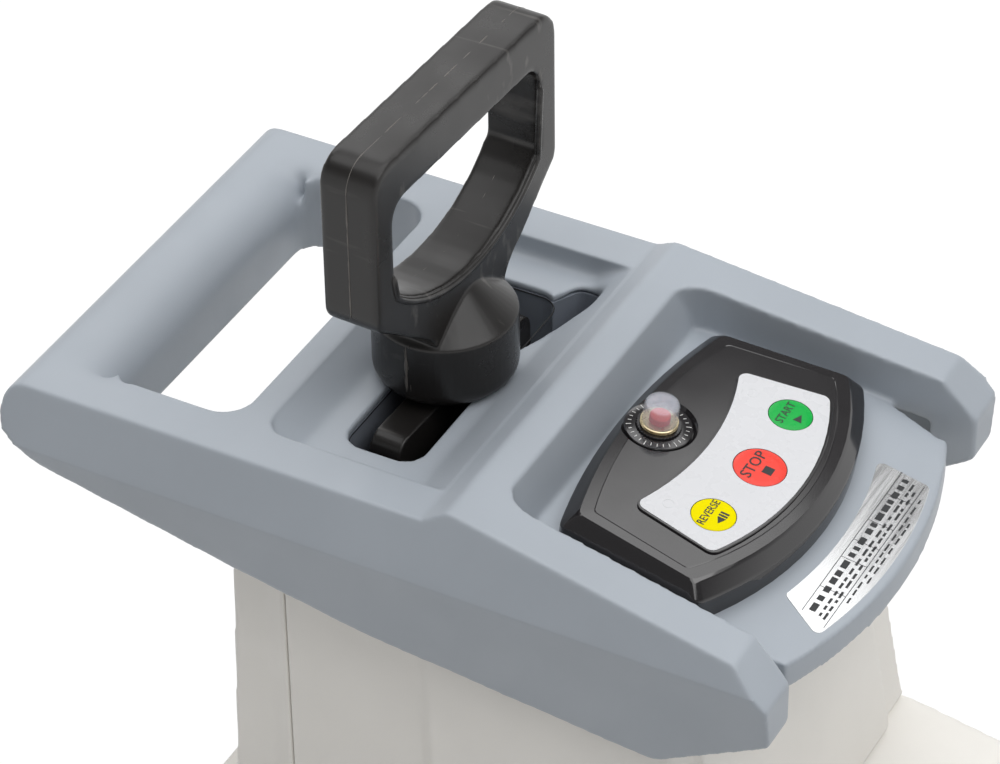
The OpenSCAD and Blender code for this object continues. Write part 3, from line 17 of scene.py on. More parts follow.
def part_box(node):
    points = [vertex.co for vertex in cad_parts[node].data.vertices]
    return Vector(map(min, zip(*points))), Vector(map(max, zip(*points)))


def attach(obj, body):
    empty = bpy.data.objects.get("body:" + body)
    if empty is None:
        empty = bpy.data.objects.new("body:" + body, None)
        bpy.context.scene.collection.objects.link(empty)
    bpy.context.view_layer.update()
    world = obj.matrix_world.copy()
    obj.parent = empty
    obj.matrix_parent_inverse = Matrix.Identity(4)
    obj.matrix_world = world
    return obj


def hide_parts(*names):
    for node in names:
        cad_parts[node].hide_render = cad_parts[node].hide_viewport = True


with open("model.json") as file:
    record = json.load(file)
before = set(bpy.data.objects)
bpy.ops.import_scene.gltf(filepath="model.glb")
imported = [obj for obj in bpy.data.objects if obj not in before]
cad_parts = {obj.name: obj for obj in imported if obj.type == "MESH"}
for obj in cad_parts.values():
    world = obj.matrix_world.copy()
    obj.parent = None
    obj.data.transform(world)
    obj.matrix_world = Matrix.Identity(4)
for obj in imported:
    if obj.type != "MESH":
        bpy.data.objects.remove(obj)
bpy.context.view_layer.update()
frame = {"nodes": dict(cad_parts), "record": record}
nodes = frame["nodes"]
BODY = {n: body for body, ns in frame["record"]["behaviour"]["bodies"].items() for n in ns}
SLOT = {s["node"]: s["material_slot"] for s in frame["record"]["subparts"]}
MM = 0.001

# Frames of the head: the ridge's middle, the tilted control panel and the turned pusher
cover_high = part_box("top_cover")[1]
BAR_BACK = 225 * MM
HEAD = Matrix.Translation((0, cover_high.y - BAR_BACK, cover_high.z))
PANEL_DROP = 5.3 * MM
PANEL_TILT = math.radians(7.83)
PANEL = HEAD @ Matrix.Translation((0, 0, -PANEL_DROP)) @ Matrix.Rotation(PANEL_TILT, 4, "X")
PUSHER_BACK = 60 * MM
PUSHER_SHIFT = -1.8 * MM
PUSHER_TURN = math.radians(-2.3)
PUSHER_SEAT = Matrix.Translation((PUSHER_SHIFT, PUSHER_BACK, 0))
PUSHER = HEAD @ PUSHER_SEAT @ Matrix.Rotation(PUSHER_TURN, 4, "Z")


# Shaders; noise scales are per metre

def linear(red, green, blue):
    """Linear colour of an sRGB colour written in 0-255."""
    tones = [c / 255 for c in (red, green, blue)]
    return tuple(c / 12.92 if c <= 0.04045 else ((c + 0.055) / 1.055) ** 2.4 for c in tones) + (1.0,)


def tinted(colour, gain):
    """Colour made darker or lighter."""
    return tuple(min(1.0, c * gain) for c in colour[:3]) + (1.0,)


def put(tree, socket, value):
    """Feeds a socket from another socket, or sets it to a constant."""
    if isinstance(value, bpy.types.NodeSocket):
        tree.links.new(value, socket)
    else:
        socket.default_value = value


def map_range(tree, value, low, high, to_low=0.0, to_high=1.0):
    """Maps low..high of a value to another range, clamped."""
    node = tree.nodes.new("ShaderNodeMapRange")
    node.clamp = True
    feeds = {"Value": value, "From Min": low, "From Max": high, "To Min": to_low, "To Max": to_high}
    for name, feed in feeds.items():
        put(tree, node.inputs[name], feed)
    return node.outputs["Result"]


def calculated(tree, operation, a, b):
    """Result of a sum on two values."""
    node = tree.nodes.new("ShaderNodeMath")
    node.operation = operation
    put(tree, node.inputs[0], a)
    put(tree, node.inputs[1], b)
    return node.outputs[0]


# Places of the colour sockets of a Mix node
MIX_A, MIX_B, MIX_RESULT = 6, 7, 2


def mixed(tree, factor, a, b):
    """Colour that goes from a to b with the factor."""
    node = tree.nodes.new("ShaderNodeMix")
    node.data_type = "RGBA"
    put(tree, node.inputs["Factor"], factor)
    put(tree, node.inputs[MIX_A], a)
    put(tree, node.inputs[MIX_B], b)
    return node.outputs[MIX_RESULT]


class Shader:
    """A Principled material fed by procedural nodes in the object's own space."""

    def __init__(self, name, **inputs):
        self.material = bpy.data.materials.new(name)
        self.material.use_nodes = True
        self.tree = self.material.node_tree
        self.bsdf = self.tree.nodes["Principled BSDF"]
        self.place = self.add("ShaderNodeTexCoord").outputs["Object"]
        for socket, value in inputs.items():
            self.feed(socket.replace("_", " "), value)

    def add(self, kind):
        return self.tree.nodes.new(kind)

    def feed(self, name, value):
        put(self.tree, self.bsdf.inputs[name], value)

    def noise(self, scale, detail=3.0, stretch=None):
        """Noise whose scale along each axis is multiplied by stretch."""
        place = self.place
        if stretch:
            mapping = self.add("ShaderNodeMapping")
            mapping.inputs["Scale"].default_value = stretch
            put(self.tree, mapping.inputs["Vector"], place)
            place = mapping.outputs["Vector"]
        node = self.add("ShaderNodeTexNoise")
        for name, value in {"Vector": place, "Scale": scale, "Detail": detail}.items():
            put(self.tree, node.inputs[name], value)
        return node.outputs["Fac"]

    def spread(self, value, low, high, to_low=0.0, to_high=1.0):
        return map_range(self.tree, value, low, high, to_low, to_high)

    def mix(self, factor, a, b):
        return mixed(self.tree, factor, a, b)

    def times(self, a, b):
        return calculated(self.tree, "MULTIPLY", a, b)

    def pointed(self, low, high):
        """One on convex edges of a dense mesh, nought on flats."""
        return self.spread(self.add("ShaderNodeNewGeometry").outputs["Pointiness"], low, high)

    def bump(self, height, distance, strength):
        """Relief of a height of 0-1 over a distance."""
        node = self.add("ShaderNodeBump")
        for name, value in {"Height": height, "Distance": distance, "Strength": strength}.items():
            put(self.tree, node.inputs[name], value)
        self.feed("Normal", node.outputs["Normal"])


# The first grey lightens the pusher's edges, as edge wear and a painted edge highlight; the second is
# the tone of its scuffs
GREY_EDGE_WEAR_AND_HIGHLIGHT = linear(70, 68, 66)
PALE_SCUFF = linear(150, 146, 142)


def moulded(name, colour, rough=0.45, vary=0.05, grain=0.03 * MM, pitch=1700,
            edge_wear_and_highlight=None, scuffs=0.0, shine=0.5):
    """Injection-moulded plastic: cloudy tone, spark-eroded grain, edges lightened as wear and as a
    painted highlight, and fine scuffs.
    """
    look = Shader(name, Specular_IOR_Level=shine)
    cloud = look.spread(look.noise(16, 4), 0.3, 0.7)
    edge_patches = look.spread(look.noise(90, 5), 0.42, 0.75)
    tone = look.mix(cloud, tinted(colour, 1 - vary), tinted(colour, 1 + vary))
    # Convex edges lightened in patches: partly edge wear, partly a painted edge highlight
    if edge_wear_and_highlight:
        tone = look.mix(look.times(look.pointed(0.52, 0.60), edge_patches), tone, edge_wear_and_highlight)
    if scuffs:
        marks = look.spread(look.noise(120, 6, (1, 0.06, 0.4)), 0.62, 0.72, 0, scuffs)
        tone = look.mix(marks, tone, PALE_SCUFF)
    look.feed("Base Color", tone)
    look.feed("Roughness", look.spread(look.noise(38, 4), 0.3, 0.7, rough * 0.85, rough * 1.15))
    look.bump(look.noise(pitch, 2), grain, 0.5)
    return look.material


def printed(name, colour, rough=0.28, shine=0.5):
    """Printed film: even tone with a faint screen and a slight orange peel."""
    look = Shader(name, Specular_IOR_Level=shine)
    cloud = look.noise(60, 3)
    look.feed("Base Color", look.mix(cloud, tinted(colour, 0.98), tinted(colour, 1.02)))
    look.feed("Roughness", look.spread(look.noise(140, 3), 0.3, 0.7, rough - 0.05, rough + 0.05))
    look.bump(look.noise(420, 2), 0.006 * MM, 0.4)
    return look.material


def metal(name, colour, rough=0.32, stretch=(1, 1, 1), pitch=900, vary=0.12):
    """Metal with fine tool marks, stretched across the cut, and tarnish in patches."""
    look = Shader(name, Metallic=1.0)
    marks = look.noise(pitch, 3, stretch)
    stain = look.spread(look.noise(30, 5), 0.35, 0.7)
    look.feed("Base Color", look.mix(stain, tinted(colour, 1 - vary), tinted(colour, 1 + vary / 2)))
    look.feed("Roughness", look.spread(marks, 0.25, 0.75, rough - 0.1, rough + 0.12))
    look.bump(marks, 0.02 * MM, 0.4)
    return look.material


def clear(name):
    """Clear silicone gone slightly milky, with faint smears."""
    look = Shader(name, Alpha=0.28, IOR=1.4)
    smear = look.noise(260, 4)
    look.feed("Base Color", look.mix(smear, linear(206, 214, 228), linear(232, 237, 246)))
    look.feed("Roughness", look.spread(smear, 0.35, 0.75, 0.06, 0.16))
    return look.material


def foil(name):
    """Silvery label film with a brushed ground."""
    look = Shader(name, Metallic=0.85)
    streak = look.noise(700, 3, (0.04, 1, 1))
    look.feed("Base Color", look.mix(streak, linear(226, 227, 228), linear(240, 241, 242)))
    look.feed("Roughness", look.spread(streak, 0.3, 0.7, 0.1, 0.18))
    look.bump(streak, 0.01 * MM, 0.3)
    return look.material


FINISH = {
    # The cover's edges are lightened to a paler blue-grey: edge wear and a painted edge highlight
    "cover_plastic": moulded("cover_plastic", linear(166, 173, 181), 0.42, 0.03, 0.05 * MM, 1500,
                             edge_wear_and_highlight=linear(186, 194, 204)),
    "housing_plastic": moulded("housing_plastic", linear(246, 243, 237), 0.5, 0.02),
    "panel_black": moulded("panel_black", linear(30, 28, 30), 0.1, 0.1, 0.002 * MM, 900, shine=0.9),
    "overlay_white": printed("overlay_white", linear(214, 215, 218)),
    "button_green": printed("button_green", linear(15, 174, 71), shine=0.3),
    "button_red": printed("button_red", linear(242, 73, 61), shine=0.3),
    "button_yellow": printed("button_yellow", linear(238, 223, 2), shine=0.02),
    "lock_red": moulded("lock_red", linear(196, 42, 36), 0.4),
    "clear_boot": clear("clear_boot"),
    "breaker_metal": metal("breaker_metal", linear(226, 210, 172), 0.3, (1, 1, 4)),
    "label_silver": foil("label_silver"),
    "board_green": printed("board_green", linear(28, 96, 58), 0.35),
    # The pusher's edges are lightened to grey: edge wear and a painted edge highlight
    "pusher_black": moulded("pusher_black", linear(31, 29, 28), 0.3, 0.12, 0.03 * MM, 1300,
                            edge_wear_and_highlight=GREY_EDGE_WEAR_AND_HIGHLIGHT, scuffs=0.25, shine=0.42),
    "black_plastic": moulded("black_plastic", linear(42, 42, 43), 0.45, 0.1),
    "wheel_black": moulded("wheel_black", linear(36, 36, 36), 0.6, 0.12, 0.08 * MM, 700),
    "box_grey": moulded("box_grey", linear(62, 65, 69), 0.48, 0.06, 0.06 * MM, 1100),
    "foot_rubber": moulded("foot_rubber", linear(34, 34, 34), 0.75, 0.12, 0.08 * MM, 600),
    "steel": metal("steel", linear(196, 198, 201), 0.34, (4, 1, 1)),
    "stack_steel": metal("stack_steel", linear(150, 152, 156), 0.45, (12, 0.2, 0.2)),
    "cast_aluminium": metal("cast_aluminium", linear(190, 191, 193), 0.55, (1, 1, 1), 500),
    "pinion_brass": metal("pinion_brass", linear(214, 180, 98), 0.3, (6, 1, 1)),
    "capacitor_shell": moulded("capacitor_shell", linear(222, 221, 216), 0.35, 0.02),
}
INK = printed("print_ink", linear(38, 40, 42), 0.4)
INK_WHITE = printed("print_white", linear(226, 226, 224), 0.4)
FLASH = moulded("pusher_flash", linear(98, 94, 90), 0.5, 0.2)
SEAM = moulded("seam_shadow", linear(24, 24, 25), 0.6, 0.1)
CHUTE = moulded("chute_plastic", linear(128, 134, 144), 0.5, 0.06)


# Mesh helpers

chance = random.Random(11)


def made(name, mesh, material, smooth=True, sharp=None):
    """A new object of the scene with one material."""
    obj = bpy.data.objects.new(name, mesh)
    bpy.context.scene.collection.objects.link(obj)
    mesh.materials.clear()
    mesh.materials.append(material)
    mesh.polygons.foreach_set("use_smooth", [smooth] * len(mesh.polygons))
    if sharp is not None:
        mesh.set_sharp_from_angle(angle=math.radians(sharp))
    return obj


def from_faces(name, verts, faces, material, smooth=True, sharp=None):
    """A new object from points and faces, welded and with its normals outwards."""
    mesh = bpy.data.meshes.new(name)
    mesh.from_pydata([tuple(v) for v in verts], [], faces)
    bm = bmesh.new()
    bm.from_mesh(mesh)
    bmesh.ops.remove_doubles(bm, verts=bm.verts, dist=1e-7)
    bmesh.ops.recalc_face_normals(bm, faces=bm.faces)
    bm.to_mesh(mesh)
    bm.free()
    return made(name, mesh, material, smooth, sharp)


def loft(name, rings, material, matrix=Matrix(), closed=False, sharp=40):
    """Skin over rings of points, all with the same count, capped at its ends unless it is closed."""
    verts = [matrix @ Vector(p) for ring in rings for p in ring]
    count = len(rings[0])
    last = len(rings) if closed else len(rings) - 1
    faces = []
    for i in range(last):
        j = (i + 1) % len(rings)
        for k in range(count):
            n = (k + 1) % count
            faces.append((i * count + k, i * count + n, j * count + n, j * count + k))
    if not closed:
        faces.append(tuple(range(count))[::-1])
        faces.append(tuple(range((len(rings) - 1) * count, len(rings) * count)))
    return from_faces(name, verts, faces, material, True, sharp)


def lathe(name, profile, material, matrix, segments, sharp, bored=False):
    """Closed solid turned about Z from (radius, height) points, bored when they go round a wall."""
    turns = [math.tau * i / segments for i in range(segments)]
    rings = [[(r * math.cos(a), r * math.sin(a), z) for a in turns] for r, z in profile]
    return loft(name, rings, material, matrix, bored, sharp=sharp)


def tube(name, path, radius, material, matrix=Matrix(), closed=False, sides=8, wobble=0.0):
    """Round bead along a path, tapered to its ends when it is open, its radius uneven by wobble."""
    points = [matrix @ Vector(p) for p in path]
    rings = []
    for i, p in enumerate(points):
        a = points[i - 1] if i or closed else p
        b = points[(i + 1) % len(points)] if i < len(points) - 1 or closed else p
        along = (b - a).normalized()
        side = (side - along * side.dot(along) if rings else along.orthogonal()).normalized()
        out = along.cross(side)
        end = not closed and i in (0, len(points) - 1)
        r = radius * (0.3 if end else 1.0 + wobble * chance.uniform(-1, 1))
        rings.append([p + r * (math.cos(t) * side + math.sin(t) * out)
                      for t in (math.tau * k / sides for k in range(sides))])
    return loft(name, rings, material, closed=closed, sharp=None)


def plate(name, outline, low, high, material, matrix=Matrix(), rim=0.0):
    """Flat plate between two heights, its top edge eased by rim."""
    rings = [[(x, y, low) for x, y in outline], [(x, y, high - rim) for x, y in outline]]
    if rim:
        rings.append([(x, y, high) for x, y in inset(outline, rim)])
    return loft(name, rings, material, matrix, sharp=30)


def inset(outline, distance):
    """Outline drawn in by a small distance along its corner normals."""
    points = [Vector(p) for p in outline]
    area = sum(a.x * b.y - b.x * a.y for a, b in zip(points, points[1:] + points[:1]))
    turn = 1 if area > 0 else -1
    drawn = []
    for i, p in enumerate(points):
        d = (points[(i + 1) % len(points)] - points[i - 1]).normalized()
        drawn.append(tuple(p + turn * distance * Vector((-d.y, d.x))))
    return drawn


def ring(radius, count, centre):
    """Points of a circle."""
    return [(centre[0] + radius * math.cos(math.tau * i / count),
             centre[1] + radius * math.sin(math.tau * i / count)) for i in range(count)]


def joined(name, objects):
    """One object from several of the same material."""
    bm = bmesh.new()
    material = objects[0].data.materials[0]
    for o in objects:
        bm.from_mesh(o.data)
    mesh = bpy.data.meshes.new(name)
    bm.to_mesh(mesh)
    bm.free()
    for o in objects:
        bpy.data.objects.remove(o)
    return made(name, mesh, material, sharp=40)


def settle(obj, node, replaces=True):
    """The piece rides with its node's body and may stand for it."""
    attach(obj, BODY[node])
    if replaces:
        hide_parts(node)


def node_copy(node):
    """Welded copy of a node's mesh as a scratch object."""
    bm = bmesh.new()
    bm.from_mesh(nodes[node].data)
    bmesh.ops.remove_doubles(bm, verts=bm.verts, dist=0.004 * MM)
    mesh = bpy.data.meshes.new(node + "_copy")
    bm.to_mesh(mesh)
    bm.free()
    obj = bpy.data.objects.new(node + "_copy", mesh)
    bpy.context.scene.collection.objects.link(obj)
    return obj


def evaluated(obj):
    """Mesh of an object with its modifiers applied; the scratch object is removed."""
    graph = bpy.context.evaluated_depsgraph_get()
    mesh = bpy.data.meshes.new_from_object(obj.evaluated_get(graph))
    bpy.data.objects.remove(obj)
    return mesh


def relax(points, edges, rounds, weight):
    """Laplacian smoothing of points, each moved by its own weight, at most half way in a round."""
    size = len(points)
    here, there = np.concatenate((edges, edges[:, ::-1])).T
    count = np.bincount(here, minlength=size)
    for _ in range(rounds):
        for axis in points.T:
            axis += weight * 0.5 * (np.bincount(here, axis[there], size) / count - axis)
    return points


def soften(node, voxel, passes, keep_faces, local=HEAD):
    """Node with every edge rounded: an even remesh, then smoothing passes of (rounds, weight rule)."""
    obj = node_copy(node)
    remesh = obj.modifiers.new("remesh", "REMESH")
    remesh.mode = "VOXEL"
    remesh.voxel_size = voxel
    mesh = evaluated(obj)
    points = np.empty(len(mesh.vertices) * 3)
    mesh.vertices.foreach_get("co", points)
    points = points.reshape(-1, 3)
    edges = np.empty(len(mesh.edges) * 2, dtype=np.int32)
    mesh.edges.foreach_get("vertices", edges)
    edges = edges.reshape(-1, 2)
    back = np.array(local.inverted())
    for rounds, rule in passes:
        inside = points @ back[:3, :3].T + back[:3, 3]
        points = relax(points, edges, rounds, rule(*inside.T))
    mesh.vertices.foreach_set("co", points.ravel())
    obj = bpy.data.objects.new(node + "_dense", mesh)
    bpy.context.scene.collection.objects.link(obj)
    thin = obj.modifiers.new("thin", "DECIMATE")
    # Each of the remesh's quads counts as two triangles
    thin.ratio = min(1.0, keep_faces / (2 * len(mesh.polygons)))
    settle(made(node + "_shell", evaluated(obj), FINISH[SLOT[node]]), node)


def smooth_step(value, low, high):
    """Eased rise from nought at low to one at high."""
    t = np.clip((value - low) / (high - low), 0, 1)
    return t * t * (3 - 2 * t)


# Finish of every CAD node; the pieces below stand for some of them

for name, obj in nodes.items():
    obj.data.materials.clear()
    obj.data.materials.append(FINISH[SLOT[name]])
nodes["feed_chute"].data.materials[0] = CHUTE


# Cover: crisp outer edges, a soft hopper pocket, and a carry bar that blends into its rails

DECK_Z = -24.5 * MM
DECK_SLOPE = 0.1376
POCKET_HW = 90 * MM
POCKET_BACK = 104 * MM
SLOT_HW = 69.5 * MM
SLOT_HD = 19 * MM
SLOT_Y = 57.5 * MM


def everywhere(x, y, z):
    """One at every point."""
    return np.ones_like(x)


def hollow(x, y, z):
    """One low in the hopper pocket, away from the slot's rim."""
    rim = np.maximum(abs(x) - SLOT_HW, abs(y - SLOT_Y) - SLOT_HD)
    across = 1 - smooth_step(abs(x), POCKET_HW + 1 * MM, POCKET_HW + 2 * MM)
    ahead = 1 - smooth_step(y, POCKET_BACK + 1 * MM, POCKET_BACK + 2 * MM)
    behind = smooth_step(y, 2 * MM, 8 * MM)
    deep = (1 - smooth_step(z, -13 * MM, -8 * MM)) * smooth_step(z, -30 * MM, -24 * MM)
    return across * ahead * behind * deep * smooth_step(rim, 2 * MM, 6 * MM)


BAR_END_X, BAR_END_Y, BAR_END_Z = 86 * MM, 190 * MM, -8 * MM


def bar_ends(x, y, z):
    """One where the carry bar runs into the side rails."""
    reach = np.sqrt((abs(x) - BAR_END_X) ** 2 + (y - BAR_END_Y) ** 2 + (z - BAR_END_Z) ** 2)
    return 1 - smooth_step(reach, 8 * MM, 20 * MM)


COVER_PASSES = [(3, everywhere), (22, hollow), (120, bar_ends), (2, everywhere)]
soften("top_cover", voxel=1.0 * MM, passes=COVER_PASSES, keep_faces=120000)


# Pusher: rounded grip, crisper boss and paddle, parting line and scuffed flash

def handle(x, y, z):
    """One in the grip, nought in the boss and paddle."""
    return smooth_step(z, 38 * MM, 50 * MM)


PUSHER_PASSES = [(3, everywhere), (26, handle)]
soften("pusher", voxel=0.65 * MM, passes=PUSHER_PASSES, keep_faces=90000, local=PUSHER)

GRIP_HW = 76
GRIP_TOP = 138
GRIP_R = 13
GRIP_HALF_T = 14
HOLE_HW = 61
HOLE_END = 70
HOLE_LOW = 44.5
BOSS_R = 33.5
BOSS_LOW, BOSS_TOP = -17, 16.3
ARC_R = (HOLE_HW ** 2 + (HOLE_END - HOLE_LOW) ** 2) / (2 * (HOLE_END - HOLE_LOW))
pusher_black = FINISH["pusher_black"]


def spaced(points, step=3.0):
    """Points along a polyline, about a step apart."""
    out = [points[0]]
    for a, b in zip(points, points[1:]):
        count = max(1, round(math.dist(a, b) / step))
        out += [tuple(p + (q - p) * i / count for p, q in zip(a, b)) for i in range(1, count + 1)]
    return out


def fan(cx, cz, radius, start, end, steps=8):
    """Points of an arc between two angles in degrees."""
    angles = [math.radians(start + (end - start) * i / steps) for i in range(steps + 1)]
    return [(cx + radius * math.cos(a), cz + radius * math.sin(a)) for a in angles]


def hole_arc(grow, half, steps=40):
    """Lower edge of the grip's hole, grown outwards."""
    centre = HOLE_LOW + ARC_R
    xs = [half * (2 * i / steps - 1) for i in range(steps + 1)]
    return [(x, centre - math.sqrt((ARC_R + grow) ** 2 - x * x)) for x in xs]


def pusher_bead(name, path, radius, y=0.0, wobble=0.0):
    """Bead on the pusher along (x, z) points: flash where it wobbles, else moulded."""
    points = [(x * MM, y * MM, z * MM) for x, z in spaced(path)]
    material = FLASH if wobble else pusher_black
    settle(tube(name, points, radius * MM, material, PUSHER, wobble=wobble), "pusher", replaces=False)


PARTING_END = 60
RIM_X, RIM_Z = GRIP_HW - GRIP_R, GRIP_TOP - GRIP_R
outer = ([(-GRIP_HW, PARTING_END)] + fan(-RIM_X, RIM_Z, GRIP_R, 180, 90)
         + fan(RIM_X, RIM_Z, GRIP_R, 90, 0) + [(GRIP_HW, PARTING_END)])
pusher_bead("pusher_parting_outer", outer, radius=0.32, wobble=0.5)
pusher_bead("pusher_parting_hole", hole_arc(0.1, HOLE_HW - 3), radius=0.35, y=1.5, wobble=0.4)

# The lip round the hole's front edge runs up further at its right end
LIP_OUT = 1.8
LIP_LEFT_END, LIP_RIGHT_END = HOLE_END + 10, HOLE_END + 34
lip = ([(-HOLE_HW - LIP_OUT, LIP_LEFT_END)] + hole_arc(2.4, HOLE_HW - 1)
       + [(HOLE_HW + LIP_OUT, LIP_RIGHT_END)])
pusher_bead("pusher_lip", lip, radius=1.7, y=0.6 - GRIP_HALF_T)
pusher_bead("pusher_lip_groove", hole_arc(0.2, HOLE_HW - 4), radius=0.45, y=3.2 - GRIP_HALF_T)
upright = [(-BOSS_R, BOSS_LOW + 8), (-BOSS_R, BOSS_TOP)]
pusher_bead("pusher_parting_boss", upright, radius=0.6, wobble=0.6)

# Torn flash up the boss
SCARS = 9
SCAR_LOW = BOSS_LOW + 9
SCAR_STEP = 3
SCAR_SIDE = 2.2
SCAR_LENGTH = (1.5, 4)
SCAR_R = (0.3, 0.6)
for k in range(SCARS):
    z = SCAR_LOW + SCAR_STEP * k
    y = chance.uniform(-SCAR_SIDE, SCAR_SIDE)
    x = -math.sqrt(BOSS_R ** 2 - y * y)
    scar = [(x, z), (x - 0.1, z + chance.uniform(*SCAR_LENGTH))]
    pusher_bead("pusher_scar_%d" % k, scar, chance.uniform(*SCAR_R), y, wobble=0.5)


# Tower and lower housing with moulded edges; the base's plain pieces with eased ones

PLAIN_PASSES = [(3, everywhere)]
soften("tower_shell", voxel=1.5 * MM, passes=PLAIN_PASSES, keep_faces=50000)
soften("rear_cover", voxel=1.5 * MM, passes=PLAIN_PASSES, keep_faces=30000)
soften("lower_housing", voxel=2.0 * MM, passes=PLAIN_PASSES, keep_faces=60000)

# Width of each piece's eased edges, in millimetres
EASED = {"left_leg": 2.0, "right_leg": 2.0, "rear_panel": 0.8, "front_brace": 1.0, "feet": 1.5,
         "collection_box": 1.2, "box_grip": 0.8, "box_lock": 1.0, "mains_inlet": 1.0,
         "adjuster_knob": 1.2, "motor_housing": 1.0, "motor_end_cap": 0.8, "gearbox_case": 1.0,
         "gearbox_cover": 1.0}
EDGE_ANGLE = math.radians(40)
for node, width in EASED.items():
    weld = nodes[node].modifiers.new("weld", "WELD")
    weld.merge_threshold = 0.01 * MM
    ease = nodes[node].modifiers.new("ease", "BEVEL")
    ease.width = width * MM
    ease.segments = 2
    ease.limit_method = "ANGLE"
    ease.angle_limit = EDGE_ANGLE
    nodes[node].modifiers.new("even", "WEIGHTED_NORMAL")


# Control panel: a black moulding with a steep bevel and a fine crease round its face

def corner(before, at, after, radius, steps=6):
    """Arc that rounds one corner of an outline."""
    a, b, c = (Vector(p) for p in (before, at, after))
    u, w = (a - b).normalized(), (c - b).normalized()
    half = u.angle(w) / 2
    middle = b + (u + w).normalized() * radius / math.sin(half)
    start, end = b + u * radius / math.tan(half) - middle, b + w * radius / math.tan(half) - middle
    turn = math.atan2(start.x * end.y - start.y * end.x, start.dot(end))
    first = math.atan2(start.y, start.x)
    return [(middle.x + radius * math.cos(first + turn * i / steps),
             middle.y + radius * math.sin(first + turn * i / steps)) for i in range(steps + 1)]


def bow(half, end, crown, steps=16):
    """Arc across the middle, from its ends at +-half to its crown."""
    sag = crown - end
    radius = (half * half + sag * sag) / (2 * abs(sag))
    side = math.copysign(1, sag)
    xs = [half * (2 * i / steps - 1) for i in range(steps + 1)]
    return [(x, crown - side * radius + side * math.sqrt(radius * radius - x * x)) for x in xs]


def between(back, front, radius):
    """Closed outline between a back arc and a front arc, its four corners rounded."""
    front = front[::-1]
    return (corner(front[-1], back[0], back[1], radius) + back[1:-1]
            + corner(back[-2], back[-1], front[0], radius)
            + corner(back[-1], front[0], front[1], radius) + front[1:-1]
            + corner(front[-2], front[-1], back[0], radius))


def arched(back, front, radius, grow=0):
    """Outline between two edges, each of (half width, ends, crown), grown outwards."""
    half, end, crown = back
    back_arc = bow(half + grow, end + grow, crown + grow)
    half, end, crown = front
    front_arc = bow(half + grow, end - grow, crown - grow)
    return between(back_arc, front_arc, radius)


PANEL_BACK = (77, -38, -28.5)
PANEL_FRONT = (85, -109.5, -132.2)
PANEL_CORNER = 6


def panel_outline(drawn_in):
    """Panel's outline, drawn in towards its middle."""
    radius = max(PANEL_CORNER - drawn_in / 4, PANEL_CORNER / 2)
    return arched(PANEL_BACK, PANEL_FRONT, radius, -drawn_in)


def in_metres(outline):
    """Outline or profile in metres from one in millimetres."""
    return [(x * MM, y * MM) for x, y in outline]


def cut(obj, tools):
    """Takes the tools' solids out of an object."""
    for tool in tools:
        modifier = obj.modifiers.new("cut", "BOOLEAN")
        modifier.operation = "DIFFERENCE"
        modifier.solver = "EXACT"
        modifier.object = tool
    name, material = obj.name, obj.data.materials[0]
    mesh = evaluated(obj)
    for tool in tools:
        bpy.data.objects.remove(tool)
    return made(name, mesh, material, sharp=28)


PANEL_FOOT = -19.0
# Distance drawn in and height of the outlines that its skin runs over
PANEL_PROFILE = [(0, PANEL_FOOT), (0, -8.2), (0.25, -7.6), (0.8, -7.0), (4.6, -2.3), (5.2, -1.7),
                 (6.0, -1.05), (10.6, -1.0), (10.85, -1.22), (11.1, -1.0), (18.0, -1.0)]
BREAKER_Y = -47
SEAT_R = 18
SEAT_Z = -3.6
SEAT_RINGS = [(SEAT_R - 2.2, SEAT_Z), (SEAT_R - 0.4, SEAT_Z + 2.2), (SEAT_R + 0.6, 8)]
# Middle and radius of each button
BUTTONS = {"start_button": (38.9, -93.4, 9.9), "stop_button": (0, -97, 11.9),
           "reverse_button": (-38.9, -93.4, 9.9)}
BUTTON_TOP = 0.3
SLACK = 0.35
BORE_LOW, BORE_TOP = -30 * MM, 10 * MM
black = FINISH["panel_black"]


def button_bores():
    """Tools that cut the button holes."""
    return [plate("bore", in_metres(ring(r + SLACK, 64, (x, y))), BORE_LOW, BORE_TOP, black, PANEL)
            for x, y, r in BUTTONS.values()]


def at_height(outline, z):
    """Outline in millimetres as points in metres at a height."""
    return [(x, y, z * MM) for x, y in in_metres(outline)]


skin = [at_height(panel_outline(m), z) for m, z in PANEL_PROFILE]
body = loft("control_panel_face", skin, black, PANEL, sharp=None)
bowl = [at_height(ring(r, 72, (0, BREAKER_Y)), z) for r, z in SEAT_RINGS]
seat = loft("seat", bowl, black, PANEL)
settle(cut(body, button_bores() + [seat]), "control_panel")

# Overlay film on its black plateau
FILM_LOW, FILM_TOP = -0.12 * MM, 0.08 * MM
PLATEAU_LOW = -1.6 * MM
white = FINISH["overlay_white"]
FILM_BACK = (52, -61.5, -71.8)
FILM_FRONT = (60, -103, -117.5)
FILM_CORNER, PLATEAU_CORNER = 4, 5
PLATEAU_BORDER = 1.2
film_outline = arched(FILM_BACK, FILM_FRONT, FILM_CORNER)
plateau_outline = arched(FILM_BACK, FILM_FRONT, PLATEAU_CORNER, PLATEAU_BORDER)
plateau = plate("overlay_plateau", in_metres(plateau_outline), PLATEAU_LOW, FILM_LOW, black, PANEL,
                rim=0.3 * MM)
settle(cut(plateau, button_bores()), "control_panel", replaces=False)
film = plate("overlay_film", in_metres(film_outline), FILM_LOW, FILM_TOP, white, PANEL, rim=0.05 * MM)
settle(cut(film, button_bores()), "panel_overlay")
EMBOSS = [(-44, -74), (42, -73)]
EMBOSS_R, EMBOSS_Z = 2.6, 0.06
for i, centre in enumerate(EMBOSS):
    path = at_height(ring(EMBOSS_R, 28, centre), EMBOSS_Z)
    emboss = tube("overlay_emboss_%d" % i, path, 0.12 * MM, white, PANEL, closed=True, sides=6)
    settle(emboss, "panel_overlay", replaces=False)

# Buttons: low domed caps in the film's holes, with their words and marks

